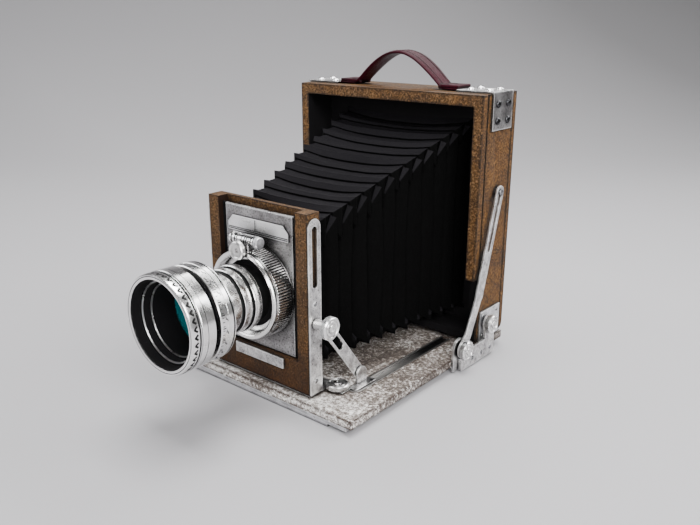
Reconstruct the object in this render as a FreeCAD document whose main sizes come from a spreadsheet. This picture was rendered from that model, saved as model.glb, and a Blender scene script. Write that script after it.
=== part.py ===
# Wooden flat-bed bellows camera for sheet film, as a parametric FreeCAD document in millimetres.
# +X is the camera's left-to-right (its right side seen from the lens is -X), -Y points out of the
# lens, +Z is up. The origin is the mouth of the tripod bush on the underside of the bed.
import FreeCAD, Part
import math
import os

doc = FreeCAD.newDocument("bellows_camera")
V = FreeCAD.Vector

# ---------------------------------------------------------------- driving dimensions
DIMENSIONS = [
    ("bed_overhang", 0.5, "bed board beyond the case, each side"),
    ("bed_length", 254.3, "bed board, front to back"),
    ("bed_thickness", 7.7, "bed board"),
    ("sole_inset", 5.5, "upper metal plate, inside the edge of the bed"),
    ("sole_thickness", 3.3, "upper metal plate under the bed"),
    ("sole_setback", 6.0, "sole plate ends this far before the back of the bed"),
    ("tripod_plate_inset", 26.5, "lower metal plate, inside the edge of the bed"),
    ("tripod_plate_thickness", 3.0, "lower metal plate"),
    ("tripod_plate_setback", 12.0, "tripod plate ends this far before the back of the bed"),
    ("bush_bore_radius", 3.97, "three-eighths inch tripod thread, nominal radius less the thread"),
    ("bush_wall", 4.5, "tripod bush"),
    ("bush_depth", 11.0, "tripod bush"),
    ("screw_head_radius", 3.0, "small wood screw, flush or domed head"),
    ("screw_shank_radius", 1.2, "small wood screw"),
    ("corner_screw_radius", 3.7, "domed screw of a corner plate"),
    ("corner_screw_height", 2.4, "domed screw of a corner plate, above the plate"),
    ("case_width", 230.0, "case, across"),
    ("case_depth", 48.0, "case shell, front to back"),
    ("case_height", 249.9, "case shell, bottom to top"),
    ("case_foot_gap", 3.6, "case shell stands this far above the bed so that it can tilt"),
    ("case_wall", 9.0, "case shell sides and bottom"),
    ("case_top_wall", 9.6, "case shell top"),
    ("case_rounding", 7.0, "rear lower corner of the case"),
    ("trim_depth", 8.9, "front frame, front to back"),
    ("trim_stile", 10.3, "front frame upright"),
    ("trim_rail", 11.3, "front frame top rail"),
    ("trim_leg_gap", 68.4, "front frame uprights end this far above the case bottom"),
    ("seam_depth", 1.2, "dark joint line round the case"),
    ("seam_width", 1.2, "dark joint line round the case"),
    ("back_depth", 7.0, "rear frame, front to back"),
    ("back_lap_side", 18.0, "rear frame inside the case wall, at the sides"),
    ("back_lap_ends", 17.65, "rear frame inside the case wall, at top and bottom"),
    ("screen_gap", 0.5, "spring back frame in the rear frame, all round"),
    ("screen_frame_bar", 17.0, "bar of the spring back frame"),
    ("screen_frame_depth", 12.0, "spring back frame, front to back"),
    ("glass_thickness", 2.0, "ground glass"),
    ("glass_lap", 5.0, "ground glass held under the bars"),
    ("spring_thickness", 0.8, "leaf spring of the spring back"),
    ("spring_height", 9.0, "leaf spring of the spring back"),
    ("corner_plate_thickness", 2.0, "metal corner plate"),
    ("corner_plate_width", 37.0, "corner plate, front to back"),
    ("corner_plate_drop", 34.5, "corner plate, down the side"),
    ("corner_plate_run", 40.0, "corner plate, along the top"),
    ("hinge_plate_thickness", 2.2, "plate on the side of the case"),
    ("hinge_plate_width", 38.6, "hinge plate, front to back"),
    ("stay_width", 13.0, "slotted stay"),
    ("stay_foot_width", 11.0, "lower part of the stay"),
    ("stay_thickness", 2.0, "slotted stay"),
    ("stay_slot_width", 5.0, "slot of the stay"),
    ("stay_slot_length", 58.0, "slot of the stay, stud centre to lower end centre"),
    ("stud_radius", 2.2, "stud in the slot of the stay"),
    ("pivot_radius", 3.0, "pivot screws"),
    ("running_clearance", 0.06, "radial clearance of a pivot in its bore"),
    ("bracket_ear_thickness", 2.4, "inner ear of the side bracket"),
    ("bracket_plate_thickness", 2.2, "outer plate of the side bracket"),
    ("bracket_gap", 2.9, "room for the stay between ear and plate"),
    ("bracket_ear_radius", 10.5, "rounded ear at the stay pivot"),
    ("bracket_arm_width", 18.0, "arm up to the tilt axis"),
    ("knob_radius", 9.8, "clamp knob"),
    ("knob_thickness", 5.0, "clamp knob"),
    ("knob_boss_radius", 4.2, "raised centre of a clamp knob"),
    ("knob_boss_height", 1.0, "raised centre of a clamp knob"),
    ("knob_gap", 0.4, "clamp knob off the plate that it clamps"),
    ("handle_height", 37.5, "top of the arch above the case top"),
    ("handle_width", 25.0, "handle strap"),
    ("handle_thickness", 4.5, "handle strap"),
    ("track_width", 12.9, "track in the bed"),
    ("track_depth", 3.2, "track in the bed"),
    ("track_lip", 0.4, "track stands proud of the bed"),
    ("track_slot_width", 8.4, "slot of the track"),
    ("track_floor", 1.2, "floor of the track"),
    ("carriage_thickness", 1.2, "carriage plate on the bed"),
    ("carriage_clearance", 0.5, "carriage plate above the bed"),
    ("standard_width", 122.4, "front standard"),
    ("standard_depth", 15.8, "front standard"),
    ("standard_height", 165.1, "front standard"),
    ("post_width", 13.4, "upright post of the standard"),
    ("rear_panel_thickness", 5.0, "panel behind the lens panel"),
    ("rear_panel_opening_height", 108.0, "light opening of the standard"),
    ("lower_rail_height", 29.0, "rail under the lens panel"),
    ("tilt_pin_radius", 1.5, "tilt pin of the standard"),
    ("tilt_pin_half", 44.0, "half length of the tilt pin"),
    ("ear_inner", 26.0, "ears of the carriage, inner face"),
    ("ear_thickness", 3.0, "ears of the carriage"),
    ("ear_clearance", 1.4, "pocket round an ear in the rail"),
    ("strap_width", 15.0, "metal strap on the side of the standard"),
    ("strap_thickness", 1.5, "metal strap on the side of the standard"),
    ("strap_slot_width", 6.4, "slot of the strap"),
    ("strap_slot_depth", 2.0, "groove in the post behind the slot"),
    ("brace_stud_radius", 3.2, "stud of the brace"),
    ("brace_thickness", 1.8, "brace"),
    ("brace_width", 12.0, "brace"),
    ("brace_slot_length", 30.0, "slot of the brace, stud centre to lower end centre"),
    ("brace_slot_gap", 0.35, "slot of the brace, each side of the stud"),
    ("brace_pin_radius", 1.8, "pin of the brace on its foot"),
    ("foot_thickness", 2.4, "upright lug of the foot"),
    ("foot_width", 13.0, "upright lug of the foot"),
    ("foot_strip_width", 7.6, "strip of the foot in the track"),
    ("foot_strip_length", 26.0, "strip of the foot in the track"),
    ("side_knob_radius", 10.4, "knob on the brace stud"),
    ("side_knob_thickness", 5.5, "knob on the brace stud"),
    ("lock_knob_radius", 10.6, "knob that clamps the carriage"),
    ("lock_knob_thickness", 4.6, "knob that clamps the carriage"),
    ("lock_stud_radius", 2.5, "stud of the lock knob"),
    ("base_bar_width", 62.4, "metal bar on the lower rail"),
    ("base_bar_height", 10.0, "metal bar on the lower rail"),
    ("base_bar_thickness", 2.3, "metal bar on the lower rail"),
    ("panel_flange", 3.3, "flange of the lens panel, each side"),
    ("panel_flange_thickness", 1.5, "flange of the lens panel"),
    ("panel_field_thickness", 1.5, "raised field of the lens panel"),
    ("catch_thickness", 1.5, "plate at the top of the lens panel"),
    ("shutter_radius", 42.6, "shutter case, at its back"),
    ("shutter_front_radius", 41.0, "shutter case, at its front"),
    ("shutter_recess_radius", 36.2, "recess in the front of the shutter case"),
    ("shutter_recess_depth", 9.0, "recess in the front of the shutter case"),
    ("shutter_bore", 25.1, "bore of the shutter case"),
    ("tube_radius", 25.0, "lens tube in the shutter case"),
    ("tube_bore", 21.5, "bore of the lens tube"),
    ("barrel_radius_one", 30.2, "first barrel ring"),
    ("barrel_radius_two", 29.1, "second barrel ring"),
    ("barrel_radius_three", 27.6, "third barrel ring"),
    ("barrel_groove", 1.2, "groove between barrel rings"),
    ("iris_ring_radius", 42.4, "aperture ring"),
    ("hub_radius", 34.0, "hub that carries the rings"),
    ("hub_bore", 31.0, "bore of the hub"),
    ("collar_radius", 36.5, "bottom of the dark groove"),
    ("band_radius", 42.8, "polished band of the hood"),
    ("front_ring_radius", 42.5, "front ring"),
    ("front_lip_radius", 38.0, "mouth of the front ring"),
    ("front_lip_depth", 1.1, "lip at the mouth of the front ring"),
    ("sleeve_radius", 38.7, "sleeve under the front ring"),
    ("sleeve_bore", 37.0, "first bore of the hood"),
    ("baffle_one_bore", 33.8, "second bore of the hood"),
    ("ring_gap", 0.25, "gap between faces of rings that turn"),
    ("front_glass_sag", 5.0, "bulge of the front lens"),
    ("front_glass_edge", 4.0, "edge thickness of the front lens"),
    ("rear_glass_thickness", 5.0, "rear lens"),
    ("glass_gap", 0.1, "lens in its cell"),
    ("cylinder_radius", 4.9, "air cylinder of the shutter"),
    ("cylinder_half", 17.8, "half length of the air cylinder"),
    ("cylinder_ring", 0.7, "raised ring of the air cylinder"),
    ("saddle_half", 9.0, "half width of the saddle under the air cylinder"),
    ("dial_radius", 8.5, "speed dial"),
    ("dial_thickness", 5.0, "speed dial"),
    ("dial_stem_radius", 2.5, "stem of the speed dial"),
    ("bellows_wall", 7.0, "depth of the pleats"),
    ("bellows_gap", 0.3, "bellows off the standard"),
    ("bellows_frame_thickness", 6.0, "bellows frame"),
    ("bellows_frame_lap", 5.0, "bellows frame inside the bellows"),
]

# places that follow from the driving dimensions
PLACES = [
    ("case_half", "case_width / 2"),
    ("bed_half", "case_half + bed_overhang"),
    ("bed_front", "-bed_length / 2"),
    ("bed_back", "bed_length / 2"),
    ("sole_bottom", "tripod_plate_thickness"),
    ("bed_bottom", "sole_bottom + sole_thickness"),
    ("bed_top", "bed_bottom + bed_thickness"),
    ("sole_width", "2 * (bed_half - sole_inset)", "upper metal plate under the bed"),
    ("tripod_plate_width", "2 * (bed_half - tripod_plate_inset)",
     "lower metal plate, the one that rests"),
    ("case_front", "bed_back - 54.15", "front face of the case shell, from the back of the bed"),
    ("case_back", "case_front + case_depth"),
    ("case_bottom", "bed_top + case_foot_gap"),
    ("case_top", "case_bottom + case_height"),
    ("case_inner_half", "case_half - case_wall"),
    ("case_floor", "case_bottom + case_wall"),
    ("case_ceiling", "case_top - case_top_wall"),
    ("case_middle_z", "(case_floor + case_ceiling) / 2"),
    ("trim_front", "case_front - trim_depth"),
    ("back_end", "case_back + back_depth"),
    ("back_opening_width", "2 * (case_inner_half - back_lap_side)", "opening of the rear frame"),
    ("back_opening_height", "case_ceiling - case_floor - 2 * back_lap_ends",
     "opening of the rear frame"),
    ("screen_half", "back_opening_width / 2 - screen_gap"),
    ("screen_half_height", "back_opening_height / 2 - screen_gap"),
    ("screen_front", "back_end - screen_frame_depth"),
    ("corner_plate_front", "case_front + 6.5", "front edge of the corner plate"),
    ("hinge_plate_front", "case_front + 4.6", "front edge of the plate on the side of the case"),
    ("hinge_plate_bottom", "case_bottom + 0.4",
     "bottom edge of the hinge plate, above the case bottom"),
    ("hinge_plate_top", "case_bottom + 31.9", "top edge of the hinge plate, above the case bottom"),
    ("hinge_y", "case_front + 13", "tilt axis of the case, behind its front face"),
    ("hinge_z", "bed_top + 23", "tilt axis of the case, above the bed"),
    ("stay_pivot_y", "case_front - 34.5", "pivot of the stays, ahead of the case"),
    ("stay_pivot_z", "bed_top + 10", "pivot of the stays, above the bed"),
    ("stay_stud_y", "case_front + 24.5", "stud of the stays on the case"),
    ("stay_stud_z", "bed_top + 158", "stud of the stays, above the bed"),
    ("stay_bend_low_y", "stay_pivot_y + 11.5", "first bend of the stay"),
    ("stay_bend_low_z", "stay_pivot_z + 10", "first bend of the stay"),
    ("stay_bend_high_y", "stay_pivot_y + 29.5", "second bend of the stay"),
    ("stay_bend_high_z", "stay_pivot_z + 47", "second bend of the stay"),
    ("bracket_bottom", "bed_bottom - 4.3", "bottom edge of the side bracket, under the bed board"),
    ("bracket_front", "stay_pivot_y - 2.5", "front edge of the side bracket"),
    ("bracket_back", "hinge_y + 11.5", "back edge of the side bracket"),
    ("bracket_band_top", "bed_top + 7.5", "top edge of the outer plate between the arms"),
    ("handle_y", "case_front + 23", "handle centre line"),
    ("handle_half_length", "case_half - corner_plate_run - 0.4",
     "handle, centre to the end of a tab, clear of the corner plates"),
    ("handle_outer_foot", "handle_half_length - 18.6", "outside of the arch at the case top"),
    ("ear_outer_x", "bed_half + bracket_ear_thickness"),
    ("plate_inner_x", "ear_outer_x + bracket_gap"),
    ("plate_outer_x", "plate_inner_x + bracket_plate_thickness"),
    ("stay_inner_x", "ear_outer_x + (bracket_gap - stay_thickness) / 2"),
    ("knob_face_x", "plate_outer_x + knob_gap"),
    ("carriage_bottom", "bed_top + carriage_clearance"),
    ("carriage_top", "carriage_bottom + carriage_thickness"),
    ("standard_front", "bed_front + 8.15",
     "front face of the standard, behind the front of the bed"),
    ("standard_bottom", "carriage_top + 1.3",
     "underside of the standard, clear of the carriage when it tilts"),
    ("standard_half", "standard_width / 2"),
    ("standard_back", "standard_front + standard_depth"),
    ("standard_middle", "standard_front + standard_depth / 2"),
    ("standard_top", "standard_bottom + standard_height"),
    ("post_inner", "standard_half - post_width"),
    ("rear_panel_front", "standard_back - rear_panel_thickness"),
    ("rear_panel_opening_width", "2 * (post_inner - 5.8)", "light opening of the standard"),
    ("lower_rail_top", "standard_bottom + lower_rail_height"),
    ("tilt_axis_z", "standard_bottom + 3", "tilt axis of the standard"),
    ("strap_outer_x", "standard_half + strap_thickness"),
    ("strap_top", "standard_top - 4.6", "top of the strap"),
    ("strap_slot_high", "strap_top - 6.5", "upper end of the slot"),
    ("brace_stud_z", "standard_bottom + 67", "stud of the brace on the standard"),
    ("strap_slot_low", "brace_stud_z + 32.5", "lower end of the slot, clear of the screw"),
    ("brace_inner", "strap_outer_x + 11.3", "inner face of the brace"),
    ("brace_foot_y", "standard_front + 52.4", "pin of the brace on its foot"),
    ("brace_foot_z", "bed_top + 11", "pin of the brace on its foot"),
    ("foot_outer_x", "brace_inner + brace_thickness + knob_gap + foot_thickness"),
    ("track_centre", "foot_outer_x + 2.45", "track in the bed, from the middle, under the foot"),
    ("track_front", "brace_foot_y - 18.8", "rounded front end of the track"),
    ("track_back", "case_front - 1", "back end of the track"),
    ("lock_knob_x", "standard_half + 7.1", "knob that clamps the carriage"),
    ("lock_knob_y", "standard_front + 29.7", "knob that clamps the carriage"),
    ("base_bar_bottom", "standard_bottom + 17.5", "metal bar on the lower rail"),
    ("panel_front", "standard_front + 3", "front face of the lens panel"),
    ("panel_back", "panel_front + panel_field_thickness + panel_flange_thickness"),
    ("panel_width", "2 * (post_inner - 0.4 - panel_flange)",
     "raised field of the lens panel, clear of the posts"),
    ("panel_half", "panel_width / 2"),
    ("panel_bottom", "lower_rail_top + 1", "bottom edge of the lens panel"),
    ("panel_top", "standard_top - 5.3", "top edge of the lens panel"),
    ("catch_width", "panel_width - 12.4", "plate at the top of the lens panel"),
    ("catch_top_width", "catch_width - 12.2",
     "plate at the top of the lens panel, above its shoulders"),
    ("catch_top", "panel_top - 9.6", "plate at the top of the lens panel"),
    ("catch_shoulder", "catch_top - 6.2", "plate at the top of the lens panel"),
    ("catch_bottom", "catch_top - 14.2", "plate at the top of the lens panel"),
    ("lens_z", "standard_bottom + 85.8", "lens axis"),
    ("shutter_front", "panel_front - 22", "front edge of the shutter case"),
    ("cylinder_y", "panel_front - 14.5", "air cylinder of the shutter"),
    ("cylinder_z", "lens_z + 49.2", "air cylinder of the shutter"),
    ("dial_z", "lens_z + 42.2", "speed dial"),
    ("dial_front", "shutter_front - 6", "front face of the speed dial"),
    ("barrel_back", "shutter_front - 3.2", "back face of the first barrel ring"),
    ("barrel_step_one", "barrel_back - 10", "groove between the first and second ring"),
    ("barrel_step_two", "barrel_step_one - 10.4", "groove between the second and third ring"),
    ("iris_ring_back", "barrel_step_two - 20.8", "back face of the aperture ring"),
    ("iris_ring_front", "iris_ring_back - 15.8", "front face of the aperture ring"),
    ("collar_front", "iris_ring_front - 5.3", "front of the dark groove"),
    ("front_ring_back", "collar_front - 13.5", "back face of the front ring"),
    ("front_ring_front", "front_ring_back - 10.3", "front face of the front ring"),
    ("baffle_one", "front_ring_back - 1", "first step inside the hood"),
    ("baffle_two", "front_ring_back + 6", "second step inside the hood"),
    ("front_glass_y", "collar_front + 11.1", "crown of the front lens"),
    ("bellows_frame_back", "case_front + 37", "back face of the bellows frame"),
    ("bellows_rear", "bellows_frame_back - bellows_frame_thickness"),
    ("bellows_front", "standard_back + bellows_gap"),
    ("bellows_rear_half", "case_inner_half - 24", "bellows half width in the case"),
    ("bellows_rear_top", "case_ceiling - 16.9", "bellows top in the case"),
    ("bellows_front_half", "standard_half - 10.4", "bellows half width at the standard"),
    ("bellows_front_top", "standard_top - 16.1", "bellows top at the standard"),
    ("bellows_bottom", "bed_top + 24", "bellows underside"),
]

CELL_OF = {}


def fill_sheet(name, rows, as_formula):
    """One row for each value: alias, value, note."""
    sheet = doc.addObject("Spreadsheet::Sheet", name)
    for number, row in enumerate(rows, start=1):
        alias = row[0]
        content = "=" + with_cells(row[1]) if as_formula else str(row[1])
        sheet.set(f"A{number}", alias)
        sheet.set(f"B{number}", content)
        sheet.setAlias(f"B{number}", alias)
        if len(row) > 2:
            sheet.set(f"C{number}", row[2])
        CELL_OF[alias] = f"<<{name}>>.{alias}"
        if as_formula:
            doc.recompute()
    doc.recompute()
    return sheet


def with_cells(text):
    """Write each alias in an expression as a reference to its cell."""
    for mark in "()-":
        text = text.replace(mark, f" {mark} ")
    return " ".join(CELL_OF.get(word, word) for word in text.split())


dims = fill_sheet("dims", DIMENSIONS, False)
places = fill_sheet("places", PLACES, True)


def size(alias):
    """The number in a cell, for the few shapes that are built in code."""
    sheet = dims if hasattr(dims, alias) else places
    return float(getattr(sheet, alias))


# ---------------------------------------------------------------- building blocks
TURN = {
    "x": FreeCAD.Rotation(V(0, 1, 0), 90),
    "y": FreeCAD.Rotation(V(1, 0, 0), -90),
    "z": FreeCAD.Rotation(),
}


def bind(piece, prop, text):
    piece.setExpression(prop, with_cells(text))


def place(piece, x, y, z):
    for letter, text in (("x", x), ("y", y), ("z", z)):
        bind(piece, f"Placement.Base.{letter}", text)


def box(x, y, z):
    """A block between two planes along each axis."""
    piece = doc.addObject("Part::Box", "block")
    for prop, (low, high) in (("Length", x), ("Width", y), ("Height", z)):
        bind(piece, prop, f"({high}) - ({low})")
    place(piece, x[0], y[0], z[0])
    return piece


def cylinder(axis, x, y, z, radius, length):
    """A round bar that starts at (x, y, z) and runs up its axis."""
    piece = doc.addObject("Part::Cylinder", "bar")
    bind(piece, "Radius", radius)
    bind(piece, "Height", length)
    piece.Placement = FreeCAD.Placement(V(), TURN[axis])
    place(piece, x, y, z)
    return piece


def cone(axis, x, y, z, radius_start, radius_end, length):
    piece = doc.addObject("Part::Cone", "taper")
    bind(piece, "Radius1", radius_start)
    bind(piece, "Radius2", radius_end)
    bind(piece, "Height", length)
    piece.Placement = FreeCAD.Placement(V(), TURN[axis])
    place(piece, x, y, z)
    return piece


def fuse(*pieces):
    joined = doc.addObject("Part::MultiFuse", "joined")
    joined.Shapes = list(pieces)
    joined.Refine = True
    return joined


def cut(base, *tools):
    tool = tools[0] if len(tools) == 1 else fuse(*tools)
    result = doc.addObject("Part::Cut", "trimmed")
    result.Base = base
    result.Tool = tool
    return result


def common(first, second):
    result = doc.addObject("Part::Common", "shared")
    result.Base = first
    result.Tool = second
    return result


def mirrored(source):
    """The same piece on the other side of the camera."""
    other = doc.addObject("Part::Mirroring", "mirrored")
    other.Source = source
    other.Base = V(0, 0, 0)
    other.Normal = V(1, 0, 0)
    return other


def group(*pieces):
    """Separate solids that share one node."""
    together = doc.addObject("Part::Compound", "group")
    together.Links = list(pieces)
    return together


def solid_of(shape):
    piece = doc.addObject("Part::Feature", "made")
    piece.Shape = shape
    return piece


nodes = {}
blanks = {}
drills = {}


def node(name, piece):
    piece.Label = name
    nodes[name] = piece


def drilled_later(name, piece):
    """A wooden piece whose screw holes come with the screws."""
    blanks[name] = piece
    drills[name] = []


def pair(name, piece):
    """A right-hand piece at +X and its mirror image at -X, each in its own node."""
    node(name + "_right", piece)
    node(name + "_left", mirrored(piece))


def both_sides(pieces):
    """Each fastener and its mirror image, as one list."""
    return pieces + [mirrored(one) for one in pieces]


def ring_y(start, end, outer, inner):
    """A ring about the lens axis between two planes, start in front of end."""
    length = f"({end}) - ({start})"
    body = cylinder("y", "0", start, "lens_z", outer, length)
    bore = cylinder("y", "0", f"{start} - 1", "lens_z", inner, f"{length} + 2")
    return cut(body, bore)


def bar_shape(points, widths, thickness, x_start):
    """A flat bar in a plane square to X, with round ends and bends, along (y, z) points."""
    shape = None
    for (first, second), width in zip(zip(points, points[1:]), widths):
        run = V(0, second[0] - first[0], second[1] - first[1])
        turn = math.degrees(math.atan2(-run.y, run.z))
        straight = Part.makeBox(thickness, width, run.Length, V(0, -width / 2, 0))
        straight.Placement = FreeCAD.Placement(
            V(x_start, first[0], first[1]), FreeCAD.Rotation(V(1, 0, 0), turn))
        pieces = [straight]
        for end in (first, second):
            pieces.append(Part.makeCylinder(width / 2, thickness, V(x_start, *end), V(1, 0, 0)))
        for one in pieces:
            shape = one if shape is None else shape.fuse(one)
    return shape.removeSplitter()


# ---------------------------------------------------------------- bed
def screw_y_places(count, first, last):
    """Evenly spaced places between two expressions."""
    step = f"(({last}) - ({first})) / {count - 1}"
    return [f"({first}) + {index} * {step}" for index in range(count)]


def track_tools(width, low, high):
    """A round-ended block along the track, for the track itself and for its seat."""
    front = f"track_front + ({width}) / 2"
    start = "track_front + track_width / 2"
    block = box((f"track_centre - ({width}) / 2", f"track_centre + ({width}) / 2"),
                (start, "track_back"), (low, high))
    nose = cylinder("z", "track_centre", start, low, f"({width}) / 2", f"({high}) - ({low})")
    return fuse(block, nose)


def make_bed():
    board = box(("-bed_half", "bed_half"), ("bed_front", "bed_back"), ("bed_bottom", "bed_top"))
    seat = track_tools("track_width", "bed_top - track_depth", "bed_top + 1")
    bush_seat = cylinder("z", "0", "0", "bed_bottom - 1", "bush_bore_radius + bush_wall",
                         "bed_thickness + 2")
    drilled_later("bed_board", cut(board, seat, mirrored(seat), bush_seat))

    rail = track_tools("track_width", "bed_top - track_depth", "bed_top + track_lip")
    slot = track_tools("track_slot_width", "bed_top - track_depth + track_floor", "bed_top + 2")
    pair("track", cut(rail, slot))

    bush_hole = cylinder("z", "0", "0", "-1", "bush_bore_radius + bush_wall", "bed_bottom + 2")
    bolt_x = ["-tripod_plate_width / 2 + 12", "tripod_plate_width / 2 - 12"]
    bolt_y = screw_y_places(3, "bed_front + 14", "bed_back - tripod_plate_setback - 14")
    heads = []
    holes = []
    for x in bolt_x:
        for y in bolt_y:
            head = cylinder("z", x, y, "0.4", "screw_head_radius", "1.4")
            shank = cylinder("z", x, y, "1.8", "screw_shank_radius", "bed_bottom + 2.2")
            heads.append(fuse(head, shank))
            holes.append(cylinder("z", x, y, "-1", "screw_head_radius", "2.8"))
            holes.append(cylinder("z", x, y, "1.8", "screw_shank_radius", "bed_bottom + 2.2"))
    drilled = fuse(*holes)
    sole = box(("-sole_width / 2", "sole_width / 2"), ("bed_front", "bed_back - sole_setback"),
               ("sole_bottom", "bed_bottom"))
    node("sole_plate", cut(sole, bush_hole, drilled))
    plate = box(("-tripod_plate_width / 2", "tripod_plate_width / 2"),
                ("bed_front", "bed_back - tripod_plate_setback"), ("0", "sole_bottom"))
    node("tripod_plate", cut(plate, bush_hole, drilled))
    drills["bed_board"].append(drilled)
    wood_screws.extend(heads)

    bush = cylinder("z", "0", "0", "0", "bush_bore_radius + bush_wall", "bush_depth")
    bore = cylinder("z", "0", "0", "-1", "bush_bore_radius", "bush_depth + 2")
    node("tripod_bush", cut(bush, bore))


def make_side_brackets():
    hub = ("stay_pivot_y", "stay_pivot_z")
    base = box(("bed_half", "plate_outer_x"), ("bracket_front", "bracket_back"),
               ("bracket_bottom", "bed_top - 0.2"))
    ear_foot = box(("bed_half", "ear_outer_x"),
                   ("stay_pivot_y - bracket_ear_radius", "stay_pivot_y + bracket_ear_radius"),
                   ("bracket_bottom", "stay_pivot_z"))
    ear = cylinder("x", "bed_half", *hub, "bracket_ear_radius", "bracket_ear_thickness")
    plate_foot = box(("plate_inner_x", "plate_outer_x"), ("bracket_front", "bracket_back"),
                     ("bracket_bottom", "bracket_band_top"))
    plate_ear = cylinder("x", "plate_inner_x", *hub, "bracket_ear_radius - 1.5",
                         "bracket_plate_thickness")
    plate_leg = box(("plate_inner_x", "plate_outer_x"),
                    ("stay_pivot_y", "stay_pivot_y + bracket_ear_radius - 1.5"),
                    ("bracket_bottom", "stay_pivot_z"))
    arm = box(("plate_inner_x", "plate_outer_x"),
              ("bracket_back - bracket_arm_width", "bracket_back"),
              ("bracket_bottom", "hinge_z - 3"))
    head = cylinder("x", "plate_inner_x", "hinge_y", "hinge_z", "bracket_arm_width / 2",
                    "bracket_plate_thickness")
    hinge_bore = cylinder("x", "bed_half - 1", "hinge_y", "hinge_z",
                          "pivot_radius + running_clearance", "20")
    solid = fuse(base, ear_foot, ear, plate_foot, plate_ear, plate_leg, arm, head)
    pivot = cylinder("x", "ear_outer_x - 1", *hub, "pivot_radius",
                     "knob_face_x + knob_thickness - 1.6 - ear_outer_x + 1")
    screws = []
    for y in screw_y_places(3, "stay_pivot_y + 17", "bracket_back - 7"):
        head_part = cylinder("x", "plate_outer_x - 0.8", y, "bed_bottom + bed_thickness / 2 - 1",
                             "screw_head_radius", "1.4")
        shank = cylinder("x", "bed_half - 9", y, "bed_bottom + bed_thickness / 2 - 1",
                         "screw_shank_radius", "plate_outer_x - bed_half + 8.2")
        screws.append(fuse(head_part, shank))
    pair("side_bracket", fuse(cut(solid, hinge_bore, *screws), pivot))
    drills["bed_board"] += both_sides(screws)
    wood_screws.extend(both_sides(screws))


# ---------------------------------------------------------------- case
def make_case():
    outer = box(("-case_half", "case_half"), ("case_front", "case_back"),
                ("case_bottom", "case_top"))
    inner = box(("-case_inner_half", "case_inner_half"), ("case_front - 1", "case_back + 1"),
                ("case_floor", "case_ceiling"))
    seams = []
    for start in ("case_front", "case_back - seam_width"):
        around = box(("-case_half - 1", "case_half + 1"), (start, f"{start} + seam_width"),
                     ("case_bottom - 1", "case_top + 1"))
        core = box(("-case_half + seam_depth", "case_half - seam_depth"),
                   (f"{start} - 1", f"{start} + seam_width + 1"),
                   ("case_bottom + seam_depth", "case_top - seam_depth"))
        seams.append(cut(around, core))
    drilled_later("case_shell", cut(outer, inner, *seams))

    trim = box(("-case_half", "case_half"), ("trim_front", "case_front"),
               ("case_bottom + trim_leg_gap", "case_top"))
    mouth = box(("-case_half + trim_stile", "case_half - trim_stile"),
                ("trim_front - 1", "case_front + 1"),
                ("case_bottom + trim_leg_gap - 1", "case_top - trim_rail"))
    node("front_frame", cut(trim, mouth))

    frame = box(("-case_half", "case_half"), ("case_back", "back_end"),
                ("case_bottom", "case_top"))
    opening = box(("-back_opening_width / 2", "back_opening_width / 2"),
                  ("case_back - 1", "back_end + 1"),
                  ("case_middle_z - back_opening_height / 2",
                   "case_middle_z + back_opening_height / 2"))
    keep = fuse(
        box(("-case_half - 1", "case_half + 1"), ("case_back - 1", "back_end + 1"),
            ("case_bottom + case_rounding", "case_top + 1")),
        cylinder("x", "-case_half - 1", "back_end - case_rounding",
                 "case_bottom + case_rounding", "case_rounding", "case_width + 2"))
    node("rear_frame", common(cut(frame, opening), keep))

    frame_plate = box(("-case_inner_half", "case_inner_half"),
                      ("bellows_rear", "bellows_frame_back"), ("case_floor", "case_ceiling"))
    window = box(("-bellows_rear_half + bellows_wall + bellows_frame_lap",
                  "bellows_rear_half - bellows_wall - bellows_frame_lap"),
                 ("bellows_rear - 1", "bellows_frame_back + 1"),
                 ("bellows_bottom + bellows_wall + bellows_frame_lap",
                  "bellows_rear_top - bellows_wall - bellows_frame_lap"))
    node("bellows_frame", cut(frame_plate, window))


def make_bellows():
    def section(y, half, top, inset):
        bottom = size("bellows_bottom") + inset
        half = half - inset
        top = top - inset
        corners = [V(-half, y, bottom), V(half, y, bottom), V(half, y, top), V(-half, y, top)]
        return Part.makePolygon(corners + corners[:1])

    front = size("bellows_front")
    rear = size("bellows_rear")
    skins = []
    for inset, reach in ((0, 0), (size("bellows_wall"), 1)):
        slope_half = (size("bellows_rear_half") - size("bellows_front_half")) / (rear - front)
        slope_top = (size("bellows_rear_top") - size("bellows_front_top")) / (rear - front)
        first = section(front - reach, size("bellows_front_half") - slope_half * reach,
                        size("bellows_front_top") - slope_top * reach, inset)
        last = section(rear + reach, size("bellows_rear_half") + slope_half * reach,
                       size("bellows_rear_top") + slope_top * reach, inset)
        skins.append(Part.makeLoft([first, last], True, True))
    node("bellows", solid_of(skins[0].cut(skins[1])))


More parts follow.
